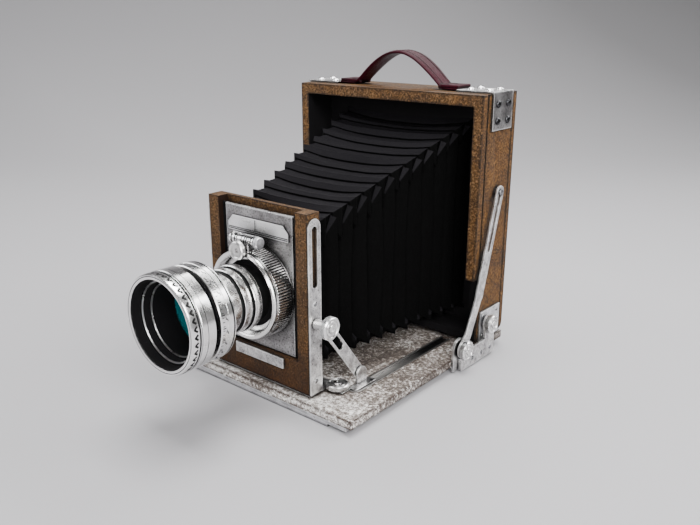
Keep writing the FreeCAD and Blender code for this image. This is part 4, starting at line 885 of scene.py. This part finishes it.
def makeBellows():
    low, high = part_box("bellows")
    rear = {"half": high.x, "top": high.z}
    front = {"half": bellows["frontHalf"] * mm, "top": bellows["frontTop"] * mm}
    parts = 4 * bellows["pleats"]
    splitFront, splitRear = bellows["splits"]
    sections = [bellowsSection(part, low, high, front, rear) for part in range(parts + 1)]
    spans = [("bellowsFront", 0, splitFront, "standard", "carriage"),
             ("bellowsMiddle", splitFront, splitRear, "carriage", "bed"),
             ("bellowsRear", splitRear, parts, "bed", "case")]
    for name, first, last, bodyA, bodyB in spans:
        shape = bmesh.new()
        loops = [[shape.verts.new(point) for point in section]
                 for section in sections[first:last + 1]]
        bridge(shape, loops)
        bmesh.ops.recalc_face_normals(shape, faces=shape.faces)
        middle = (loops[0][0].co + loops[0][len(loops[0]) // 2].co) / 2
        outward = sum((face.normal.dot((face.calc_center_median() - Vector(
            (0, face.calc_center_median().y, middle.z))).normalized()) for face in shape.faces))
        if outward < 0:
            bmesh.ops.reverse_faces(shape, faces=shape.faces[:])
        mesh = meshFrom(name, shape)
        shadeByAngle(mesh, 26)
        piece = meshObject(name, mesh, "bellowsLeather")
        wall = piece.modifiers.new("skin", "SOLIDIFY")
        wall.thickness = bellows["skin"] * mm
        wall.offset = -1
        bevelled(piece, 0.3 * mm, 2, 30)
        applied(piece)
        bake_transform(piece)
    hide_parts("bellows")
    print("bellows made")


# handle: a strap that rises from two tabs, with a creased and stitched border
handle = {"legReach": 54.5, "crown": 33.0, "thick": 3.6, "border": 6.2, "groove": 0.9,
          "stitchPitch": 3.4, "stitchLength": 2.1}


def handleHeight(x, seat):
    rise = handle["crown"] * math.cos(math.pi * min(abs(x), 2 * handle["legReach"]) /
                                      (2 * handle["legReach"]))
    rise = 0.5 * (rise + math.hypot(rise, 1.6))
    return seat + handle["thick"] / 2 + rise


def handleLine(seat, reach, steps):
    points = []
    for step in range(steps + 1):
        x = -reach + 2 * reach * step / steps
        points.append(Vector((x, 0, handleHeight(x, seat))))
    return points


def makeHandle():
    low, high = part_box("handle")
    seat = low.z / mm
    reach = high.x / mm - 0.2
    middleY = (low.y + high.y) / 2 / mm
    halfWidth = (high.y - low.y) / 2 / mm
    line = handleLine(seat, reach, 150)
    across = [-1, -0.985, -0.93]
    inner = handle["border"] / halfWidth
    across += [-inner - 0.045, -inner, -inner + 0.045, -0.45, 0.0, 0.45, inner - 0.045, inner,
               inner + 0.045, 0.93, 0.985, 1]
    shape = bmesh.new()
    rows = []
    for index, point in enumerate(line):
        before = line[max(0, index - 1)]
        after = line[min(len(line) - 1, index + 1)]
        along = (after - before).normalized()
        up = Vector((-along.z, 0, along.x))
        narrow = 1 - 0.10 * math.exp(-((abs(point.x) - 50) / 12) ** 2)
        ring = []
        for part in across:
            edge = 0.35 + 0.65 * (1 - abs(part) ** 12)
            crown = handle["thick"] / 2 * edge + 0.25 * (1 - part ** 2)
            if abs(abs(part) - inner) < 1e-6:
                crown -= handle["groove"]
            ring.append(point + up * (crown - 0.25) + Vector((0, part * halfWidth * narrow, 0)))
        for part in reversed(across):
            under = handle["thick"] / 2 * (0.35 + 0.65 * (1 - abs(part) ** 12))
            ring.append(point - up * under + Vector((0, part * halfWidth * narrow, 0)))
        rows.append([shape.verts.new((p + Vector((0, middleY, 0))) * mm) for p in ring])
    bridge(shape, rows)
    shape.faces.new(rows[0])
    shape.faces.new(rows[-1])
    strap = fromBmesh("handleStrap", shape, "handleLeather", 50)
    pieces = [strap]
    for side in (-1, 1):
        tab = barMesh("tab", (20.5, 2 * halfWidth - 0.6, 2.6), bevel=0.6)
        tab.transform(Matrix.Translation(Vector((side * (reach - 10.3), middleY,
                                                 seat + handle["thick"] + 0.55)) * mm))
        pieces.append(meshObject("tab", tab, "handleLeather"))
        for y in (-0.62, 0.62):
            loop = lathe("loop", [(-6.0, 0.0), (-6.0, 1.9), (-5.2, 2.5), (5.2, 2.5), (6.0, 1.9),
                                  (6.0, 0.0)], "x",
                         (side * (reach - 18.5), middleY + y * halfWidth, seat + 3.4),
                         "handleLeather", 24, closed=False)
            pieces.append(loop)
    mount(joined("handleLeatherwork", pieces), "case", "handle", slot="handle_leather")
    spots = []
    facing = []
    for border in (-1, 1):
        run = 0.0
        for before, after in zip(line, line[1:]):
            run += (after - before).length
            if run > handle["stitchPitch"] and abs(after.x) < 50:
                run = 0.0
                along = (after - before).normalized()
                up = Vector((-along.z, 0, along.x))
                y = middleY + border * (handle["border"] + 1.25)
                spots.append((after + up * (handle["thick"] / 2 - 0.12) + Vector((0, y, 0))) * mm)
                facing.append(along)
    base = bpy.data.meshes.new("stitchPlaces")
    base.from_pydata(spots, [], [])
    aimPoints(base, facing)
    stitch = barMesh("stitch", (0.5, 0.5, handle["stitchLength"]), bevel=0.12)
    mount(copies("handleStitches", stitch, "places", "thread", base=base), "case",
          slot="handle_leather")
    print("handle made")


# clamp knobs: a dished face with a ring groove and a boss, and a knurled rim
def makeKnob(node, axis, sign, teeth=64):
    low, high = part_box(node)
    centre = (low + high) / 2 / mm
    size = (high - low) / mm
    axisIndex = "xyz".index(axis)
    radius = size[(axisIndex + 1) % 3] / 2
    depth = size[axisIndex]
    base = (low if sign > 0 else high)[axisIndex] / mm
    rim = depth - 1.0
    knob = {"toothDepth": 0.5, "chamfer": 0.7, "dish": 0.5}
    body = radius - knob["toothDepth"]
    outline = [(0.0, 0.0), (0.0, body - 0.6), (0.5, body), (rim - knob["chamfer"], body),
               (rim, body - knob["chamfer"]), (rim, body * 0.80), (rim - knob["dish"], body * 0.76),
               (rim - knob["dish"], body * 0.70), (rim - 0.1, body * 0.66), (rim, body * 0.50),
               (rim - 0.25, body * 0.44), (rim - 0.25, body * 0.40), (depth - 0.25, body * 0.36),
               (depth, body * 0.30), (depth, body * 0.16), (depth - 0.3, body * 0.12),
               (depth - 0.3, 0.0)]
    outline = [(base + sign * along, r) for along, r in outline]
    flat = [0 if k == axisIndex else centre[k] for k in range(3)]
    turned = lathe("turnedKnob", outline, axis, flat, "knobMetal", 96, closed=False)
    length = rim - knob["chamfer"] - 0.5
    tooth = barMesh("tooth", (knob["toothDepth"] * 2, 0.62 * math.tau * radius / teeth, length),
                    bevel=0.1)
    middle = list(flat)
    middle[axisIndex] = base + sign * (0.5 + length / 2)
    rimTeeth = ringOf("knurl", tooth, teeth, body, axis, middle, "knobMetal")
    piece = joined(node + "_turned", [turned, rimTeeth])
    return mount(piece, node, node, slot="knob_metal")


def makeKnobs():
    for side, sign in (("left", -1), ("right", 1)):
        for name in ("stay_knob", "hinge_knob", "brace_knob"):
            makeKnob(f"{name}_{side}", "x", sign)
        makeKnob(f"lock_knob_{side}", "z", 1)
    print("knobs made")


# lens and shutter: every turned part is about the lens axis
def lensCentre():
    low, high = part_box("aperture_ring")
    return (0, 0, (low.z + high.z) / 2 / mm)


# front and back of a CAD piece along the lens axis, in millimetres
def spanOf(node):
    low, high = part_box(node)
    return low.y / mm, high.y / mm


def ringLine(name, start, end, radius, centre, depth=0.8, finish="blackPaint"):
    return lathe(name, [(start, radius - depth), (start, radius), (end, radius),
                        (end, radius - depth)], "y", centre, finish)


def makeShutter(centre):
    front, back = spanOf("shutter_case")
    shutter = {"frontRadius": 41.0, "backRadius": 42.6, "bore": 25.2, "recess": 36.2,
               "recessDepth": 9.0, "ribs": 104, "ribDepth": 1.3, "ribStart": 4.6, "ribEnd": 2.2}

    def radiusAt(y):
        share = (y - front) / (back - front)
        return shutter["frontRadius"] + share * (shutter["backRadius"] - shutter["frontRadius"])
    ribFront = front + shutter["ribStart"]
    ribBack = back - shutter["ribEnd"]
    deep = shutter["ribDepth"]
    outline = [(back, shutter["bore"]), (back, radiusAt(back) - 0.4), (back - 0.4, radiusAt(back)),
               (ribBack + 0.2, radiusAt(ribBack)), (ribBack, radiusAt(ribBack) - deep),
               (ribFront, radiusAt(ribFront) - deep), (ribFront - 0.2, radiusAt(ribFront)),
               (front + 2.3, radiusAt(front + 2)), (front + 2.2, radiusAt(front) - 0.6),
               (front + 1.5, radiusAt(front) - 0.6), (front + 1.4, radiusAt(front) - 0.1),
               (front + 0.5, radiusAt(front) - 0.3), (front, radiusAt(front) - 0.9),
               (front, shutter["recess"] + 1.4), (front + 0.5, shutter["recess"] + 0.6),
               (front + 1.2, shutter["recess"]), (front + shutter["recessDepth"],
                                                  shutter["recess"]),
               (front + shutter["recessDepth"], shutter["bore"])]
    case = lathe("case", outline, "y", centre, "lensMetal", 192)
    slope = math.atan2(shutter["backRadius"] - shutter["frontRadius"], back - front)
    rib = barMesh("rib", (2 * deep, 1.5, ribBack - ribFront - 0.3), bevel=0.3)
    rib.transform(Matrix.Rotation(slope, 4, "Y"))
    middle = (ribFront + ribBack) / 2
    ribs = ringOf("ribs", rib, shutter["ribs"], radiusAt(middle) - deep, "y",
                  (centre[0], middle, centre[2]), "lensMetal")
    # painted shade: a black band at the roots of the ribs darkens the gaps between them
    dark = lathe("between", [(ribFront, radiusAt(ribFront) - deep - 0.2),
                             (ribFront, radiusAt(ribFront) - deep + 0.12),
                             (ribBack, radiusAt(ribBack) - deep + 0.12),
                             (ribBack, radiusAt(ribBack) - deep - 0.2)], "y", centre,
                 "blackPaint", 128)
    floor = front + shutter["recessDepth"]
    shade = lathe("shade", [(floor - 0.6, shutter["bore"]), (floor - 0.6, 30.6),
                            (floor - 0.2, 30.6), (floor - 0.2, shutter["bore"])],
                  "y", centre, "blackInside")
    piece = joined("shutterCase", [case, ribs, dark, shade])
    mount(piece, "lens", "shutter_case", slot="lens_metal")

    low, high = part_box("shutter_cylinder")
    half = high.x / mm
    tube = {"radius": 4.4, "ring": 5.5, "middle": (0, -130.5, 152.0)}
    outline = [(-half, 0.0), (-half, 4.2), (-half + 0.6, 5.0), (-half + 2.4, tube["ring"]),
               (-half + 3.0, tube["ring"]), (-half + 3.4, tube["radius"])]
    for start, width in ((-half + 6, 1.6), (-half + 9, 1.0), (-2.6, 1.0), (-0.6, 2.4), (3.4, 1.0),
                         (6.4, 1.0), (8.2, 1.4)):
        outline += [(start, tube["radius"]), (start + 0.2, tube["ring"] - 0.3),
                    (start + width - 0.2, tube["ring"] - 0.3), (start + width, tube["radius"])]
    outline += [(half - 6.6, tube["radius"]), (half - 6.2, tube["ring"]),
                (half - 5.2, tube["ring"]), (half - 5.0, 4.6), (half - 4.6, 4.6),
                (half - 4.4, 5.2), (half - 0.9, 5.2),
                (half - 0.2, 4.8), (half, 4.0), (half, 0.0)]
    cylinder = lathe("tube", outline, "x", tube["middle"], "lensMetal", 72, closed=False)
    paintFaces(cylinder, "plateMetal", lambda face: face.center.x > (half - 5.1) * mm)
    saddle = barAt("saddle", (13.0, 9.0, 9.5), (Vector(tube["middle"]) - Vector((0, 0, 4.6))) * mm,
                   "lensMetal", 0.8)
    mount(joined("airCylinder", [cylinder, saddle]), "lens", "shutter_cylinder", slot="lens_metal")

    low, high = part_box("speed_dial")
    dialFront = low.y / mm
    radius = (high.x - low.x) / 2 / mm
    dialCentre = (0, 0, (low.z + high.z) / 2 / mm)
    outline = [(high.y / mm, 0.0), (high.y / mm, 2.5), (dialFront + 5.0, 2.5),
               (dialFront + 5.0, radius - 0.6), (dialFront + 4.4, radius),
               (dialFront + 1.2, radius),
               (dialFront + 0.3, radius - 0.7), (dialFront, radius - 1.5),
               (dialFront, radius - 2.2), (dialFront + 0.5, radius - 2.9),
               (dialFront + 0.9, radius - 4.4), (dialFront + 0.7, radius - 6.2),
               (dialFront + 0.35, radius - 7.3), (dialFront + 0.3, 0.0)]
    dial = lathe("dialDisc", outline, "y", dialCentre, "knobMetal", 80, closed=False)
    mount(joined("speedDial", [dial]), "speed_dial", "speed_dial", slot="lens_metal")


def makeLensPanel():
    panel = refined("lens_panel", "lens", "panelMetal", "panel_metal", 0.8)
    rim = {"step": 3.3, "reach": 1.1, "drawnIn": 2.0, "dark": 5.0}
    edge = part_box("lens_panel")[1].x
    for vert in panel.data.vertices:
        if abs(abs(vert.co.x) - edge + rim["step"] * mm) < rim["reach"] * mm:
            vert.co.x *= 1.0 - rim["drawnIn"] * mm / abs(vert.co.x)
    # painted shade: the flange along the panel's sides is painted black to make the dark gap by the
    # posts
    paintFaces(panel, "blackInside", lambda face: abs(face.center.x) > edge - rim["dark"] * mm)
    low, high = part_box("scale_plate")
    plate = {"chamfer": 6.2, "rise": 6.6}
    corners = [(low.x, low.z), (high.x, low.z), (high.x, high.z - plate["rise"] * mm),
               (high.x - plate["chamfer"] * mm, high.z), (low.x + plate["chamfer"] * mm, high.z),
               (low.x, high.z - plate["rise"] * mm)]
    shape = bmesh.new()
    near = [shape.verts.new((x, low.y + 0.25 * mm, z)) for x, z in corners]
    far = [shape.verts.new((x, high.y, z)) for x, z in corners]
    shape.faces.new(near)
    shape.faces.new(list(reversed(far)))
    bridge(shape, [near, far])
    base = fromBmesh("plate", shape, "panelMetal")
    bevelled(base, 0.35 * mm)
    applied(base)
    pieces = [base]
    width = (high.x - low.x) / mm
    level = low.y + 0.26 * mm
    for rise, finish in ((0.9, "panelMetal"), (1.7, "blackPaint"), (2.5, "panelMetal"),
                         (3.2, "blackPaint")):
        pieces.append(barAt("bead", (width - 1.6, 0.5, 0.55), (0, level, low.z + rise * mm),
                            finish, 0.15))
    for x, finish in ((1.6, "panelMetal"), (2.6, "blackPaint")):
        pieces.append(barAt("divider", (0.7, 0.5, (high.z - low.z) / mm - 4.6),
                            (-x * mm, level, (low.z + high.z) / 2 + 1.4 * mm), finish, 0.15))
    pieces.append(barAt("notch", (11, 0.5, 2.2), (-14 * mm, level, high.z - 2.6 * mm),
                        "panelMetal", 0.2))
    mount(joined("scalePlate", pieces), "lens", "scale_plate", slot="panel_metal")


def makeBarrel(centre):
    front, back = spanOf("lens_barrel")
    barrel = {"neck": 25.0, "groove": 1.5, "sections": ((-151.2, -141.2, 30.2),
                                                       (-161.6, -151.2, 29.1),
                                                       (-182.15, -161.6, 27.6)),
              "hubFront": -198.45, "hub": 34.0, "collar": 36.5, "bore": 31.0, "tube": 21.5}
    pieces = [lathe("neck", [(barrel["sections"][0][1] - 1, barrel["tube"]),
                             (barrel["sections"][0][1] - 1, barrel["neck"]),
                             (back, barrel["neck"]), (back, barrel["tube"])],
                    "y", centre, "blackPaint", 128)]
    for index, (start, end, radius) in enumerate(barrel["sections"]):
        gap = barrel["groove"] if index < 2 else 0.0
        pieces.append(lathe("section", [
            (start + gap, barrel["tube"]), (start + gap, radius - 0.5), (start + gap + 0.4, radius),
            (end - 2.2, radius), (end - 0.9, radius - 0.5), (end - 0.15, radius - 1.5),
            (end - 0.05, barrel["tube"])], "y", centre, "lensMetal", 192))
        # painted shade: a black ring at the bottom of the gap between sections
        if gap:
            pieces.append(ringLine("groove", start - 0.3, start + gap + 0.3, radius - 2.0, centre,
                                   3.0))
    hubBack = barrel["sections"][2][0]
    pieces.append(lathe("hub", [(front, barrel["bore"]), (front, barrel["collar"]),
                                (barrel["hubFront"], barrel["collar"]),
                                (barrel["hubFront"], barrel["hub"]), (hubBack, barrel["hub"]),
                                (hubBack, barrel["tube"] + 3), (hubBack - 1, barrel["bore"])],
                        "y", centre, "blackInside", 128))
    mount(joined("lensBarrel", pieces), "lens", "lens_barrel", slot="lens_metal")


def makeApertureRing(centre):
    front, back = spanOf("aperture_ring")
    ring = {"outer": 42.4, "bore": 34.06, "marks": 72, "numerals": 24}
    outer = ring["outer"]
    outline = [(back, ring["bore"]), (back, outer - 0.9), (back - 0.5, outer - 0.2),
               (back - 1.3, outer - 0.2), (back - 1.4, outer - 0.8), (back - 2.9, outer - 0.8),
               (back - 3.0, outer), (back - 7.0, outer), (back - 7.3, outer - 0.4),
               (front + 1.7, outer - 0.4), (front + 1.4, outer), (front + 0.5, outer),
               (front, outer - 0.6), (front, ring["bore"])]
    pieces = [lathe("ring", outline, "y", centre, "lensMetal", 192),
              ringLine("line", back - 2.9, back - 1.42, outer - 0.55, centre)]
    zoneMiddle = (back - 7.3 + front + 1.7) / 2
    for count, size, shift, first in (
            (ring["marks"], (0.2, 0.55, 2.0), -2.0, 0.0),
            (ring["numerals"], (0.2, 0.8, 3.0), -1.6, 0.04),
            (ring["numerals"], (0.2, 1.8, 0.6), 0.6, 0.1),
            (ring["numerals"], (0.2, 0.6, 2.0), 1.2, 0.13),
            (ring["numerals"], (0.2, 1.6, 0.6), 2.1, 0.16)):
        mark = barMesh("mark", size)
        pieces.append(ringOf("marks", mark, count, outer - 0.4, "y",
                             (centre[0], zoneMiddle + shift, centre[2]), "blackPaint", first))
    mount(joined("apertureRing", pieces), "aperture_ring", "aperture_ring", slot="lens_metal")


def makeHood(centre):
    front, back = spanOf("lens_hood")
    hood = {"bandFront": -217.0, "band": 42.8, "sleeve": 38.7, "bore": 37.0, "stepOne": -218.0,
            "stepOneBore": 33.8, "stepTwo": -211.0, "stepTwoBore": 31.0}
    band = lathe("band", [(back, 36.0), (back, hood["band"] - 0.6), (back - 0.5, hood["band"]),
                          (back - 7.9, hood["band"]), (back - 8.0, hood["band"] - 0.35),
                          (back - 8.4, hood["band"] - 0.35), (back - 8.5, hood["band"]),
                          (hood["bandFront"] + 0.4, hood["band"]),
                          (hood["bandFront"], hood["band"] - 0.4), (hood["bandFront"], 36.0)],
                 "y", centre, "lensMetal", 192)
    lining = lathe("lining", [
        (front, hood["sleeve"]), (front, hood["bore"]), (hood["stepOne"], hood["bore"]),
        (hood["stepOne"], hood["stepOneBore"]), (hood["stepTwo"], hood["stepOneBore"]),
        (hood["stepTwo"], hood["stepTwoBore"]), (back, hood["stepTwoBore"]), (back, 36.4),
        (hood["bandFront"], 36.4), (hood["bandFront"], hood["sleeve"])], "y", centre,
                   "blackInside", 192)
    bright = []
    for y, radius in ((hood["stepOne"], hood["stepOneBore"]),
                      (hood["stepTwo"], hood["stepTwoBore"])):
        bright.append(lathe("rim", [(y - 0.5, radius + 0.2), (y - 0.4, radius + 1.1),
                                    (y + 0.1, radius + 1.1), (y + 0.5, radius - 0.1)], "y", centre,
                            "knobMetal", 160))
    mount(joined("lensHood", [band, lining, *bright]), "lens", "lens_hood", slot="lens_metal")


def makeFrontRing(centre):
    front, back = spanOf("front_ring")
    ring = {"outer": 42.5, "bore": 38.76, "mouth": 38.0, "chevrons": 40, "chevronReach": 2.6,
            "chevronSpread": 2.0, "chevronWidth": 1.7}
    outer = ring["outer"]
    outline = [(back, ring["bore"]), (back, outer - 0.5), (back - 0.4, outer), (back - 1.2, outer),
               (back - 1.3, outer - 0.5), (back - 2.8, outer - 0.5), (back - 2.9, outer),
               (front + 1.0, outer), (front + 0.25, outer - 0.45), (front, outer - 1.0),
               (front, outer - 1.7), (front + 0.5, outer - 1.8), (front + 0.5, outer - 2.3),
               (front, outer - 2.4), (front, ring["mouth"] + 0.6),
               (front + 0.3, ring["mouth"] + 0.1),
               (front + 1.1, ring["mouth"]), (front + 1.1, ring["bore"])]
    pieces = [lathe("ring", outline, "y", centre, "lensMetal", 192),
              ringLine("rearLine", back - 2.8, back - 1.32, outer - 0.3, centre),
              ringLine("faceLine", front + 0.44, front + 0.6, outer - 1.8, centre, 0.5)]
    shape = bmesh.new()
    for side in (-1, 1):
        arm = barMesh("arm", (0.2, ring["chevronWidth"], ring["chevronReach"] * 1.5))
        tilt = side * math.atan2(ring["chevronSpread"], ring["chevronReach"])
        arm.transform(Matrix.Translation(Vector((0, side * ring["chevronSpread"] / 2, 0)) * mm)
                      @ Matrix.Rotation(-tilt, 4, "X"))
        shape.from_mesh(arm)
        bpy.data.meshes.remove(arm)
    chevron = meshFrom("chevron", shape)
    pieces.append(ringOf("chevrons", chevron, ring["chevrons"], outer, "y",
                         (centre[0], (front + back) / 2 - 0.9, centre[2]), "blackPaint"))
    mount(joined("frontRing", pieces), "front_ring", "front_ring", slot="ring_metal")


def makeGlass(centre):
    low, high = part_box("front_glass")
    radius = (high.x - low.x) / 2 / mm
    sag = 5.0
    curve = (radius ** 2 + sag ** 2) / (2 * sag)
    outline = [(high.y / mm, 0.0), (high.y / mm, radius)]
    for step in range(25):
        r = radius * (1 - step / 24)
        outline.append((low.y / mm + curve - math.sqrt(curve ** 2 - r ** 2), r))
    mount(lathe("frontElement", outline, "y", centre, "tealGlass", 128, closed=False), "lens",
          "front_glass", slot="coated_glass")
    low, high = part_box("rear_glass")
    radius = (high.x - low.x) / 2 / mm
    outline = [(low.y / mm, 0.0), (low.y / mm, radius), (high.y / mm - 2, radius)]
    for step in range(13):
        r = radius * (1 - step / 12)
        outline.append((high.y / mm - 2 * (r / radius) ** 2, r))
    mount(lathe("rearElement", outline, "y", centre, "tealGlass", 96, closed=False), "lens",
          "rear_glass", slot="coated_glass")


def makeLens():
    centre = lensCentre()
    makeShutter(centre)
    makeLensPanel()
    makeBarrel(centre)
    makeApertureRing(centre)
    makeHood(centre)
    makeFrontRing(centre)
    makeGlass(centre)
    print("lens made")


# floor, light and camera
def makeStage():
    stage = {"reach": 6.0, "wall": 2.6, "bend": 1.6, "height": 4.0, "turn": math.radians(39.85)}
    shape = bmesh.new()
    rows = []
    profile = [(-stage["reach"], 0.0), (stage["wall"] - stage["bend"], 0.0)]
    for step in range(1, 17):
        angle = math.radians(90) * step / 16
        profile.append((stage["wall"] - stage["bend"] + stage["bend"] * math.sin(angle),
                        stage["bend"] * (1 - math.cos(angle))))
    profile.append((stage["wall"], stage["height"]))
    facing = Matrix.Rotation(stage["turn"], 4, "Z")
    for y, z in profile:
        rows.append([shape.verts.new(facing @ Vector((x, y, z - 0.0001)))
                     for x in (-stage["reach"], stage["reach"])])
    for first, second in zip(rows, rows[1:]):
        shape.faces.new((first[0], first[1], second[1], second[0]))
    tree, bsdf = newFinish("studioFloor")
    # painted light: the floor is painted darker with distance, as light falling off
    across = placeOn(tree, turn=(0, 0, -stage["turn"]))
    away = combine(tree, "ADD", partOf(tree, across, "Y"),
                   times(tree, partOf(tree, across, "X"), 1.1))
    tone = blendColour(tree, between(tree, away, 0.6, 2.9), (0.33, 0.323, 0.334),
                       (0.125, 0.123, 0.126))
    setShader(tree, bsdf, Base_Color=tone, Roughness=0.6, Specular_IOR_Level=0.2)
    floor = fromBmesh("studio", shape, "studioFloor", 60)
    print("stage made")


def makeLight(name, place, target, size, power, colour):
    light = bpy.data.lights.new(name, "AREA")
    light.shape = "RECTANGLE"
    light.size, light.size_y = size
    light.energy = power
    light.color = colour
    lamp = bpy.data.objects.new(name, light)
    lamp.location = place
    lamp.rotation_euler = (Vector(target) - Vector(place)).to_track_quat("-Z", "Y").to_euler()
    bpy.context.scene.collection.objects.link(lamp)


def makeCamera():
    view = {"place": (0.4676, -0.5500, 0.3355), "down": 18.176, "turn": 39.853, "lens": 38.37}
    camera = bpy.data.cameras.new("camera")
    camera.lens = view["lens"]
    camera.sensor_width = 36
    camera.clip_start = 0.01
    camera.clip_end = 50
    eye = bpy.data.objects.new("camera", camera)
    eye.location = view["place"]
    eye.rotation_euler = (math.radians(90 - view["down"]), 0, math.radians(view["turn"]))
    bpy.context.scene.collection.objects.link(eye)
    bpy.context.scene.camera = eye
    world = bpy.data.worlds.new("studioAir")
    bpy.context.scene.world = world
    world.use_nodes = True
    tree = world.node_tree
    back = tree.nodes["Background"]
    coords = addNode(tree, "ShaderNodeTexCoord")
    height = partOf(tree, coords.outputs["Generated"], "Z")
    shade = between(tree, height, 0.05, 0.95, 1.0, 0.25)
    tree.links.new(shade, back.inputs["Color"])
    back.inputs["Strength"].default_value = 0.27
    for name, place, size, power, colour in (
            ("keyPanel", (1.5, -0.9, 1.25), (1.1, 0.8), 62, (1, 1, 1)),
            ("sidePanel", (1.1, -1.9, 0.45), (0.6, 1.2), 34, (1, 1, 1)),
            ("fillPanel", (-1.6, -1.1, 1.0), (1.2, 1.0), 20, (0.97, 0.98, 1.0)),
            ("backPanel", (-0.4, 1.6, 1.7), (1.6, 0.8), 36, (1, 1, 1)),
            ("rimPanel", (0.95, 1.55, 1.25), (1.3, 1.0), 42, (1, 1, 1)),
            ("topPanel", (0.0, 0.1, 1.9), (1.0, 1.0), 62, (1, 1, 1))):
        makeLight(name, place, (0, 0, 0.12), size, power, colour)
    print("lights and camera made")


trees = {"ring": ringTree(), "places": placesTree()}
makeCamera()
makeFinishes()
makeStage()
makeWoodwork()
makeMetalwork()
makeScrews()
makeSprings()
makeBellows()
makeHandle()
makeKnobs()
makeLens()
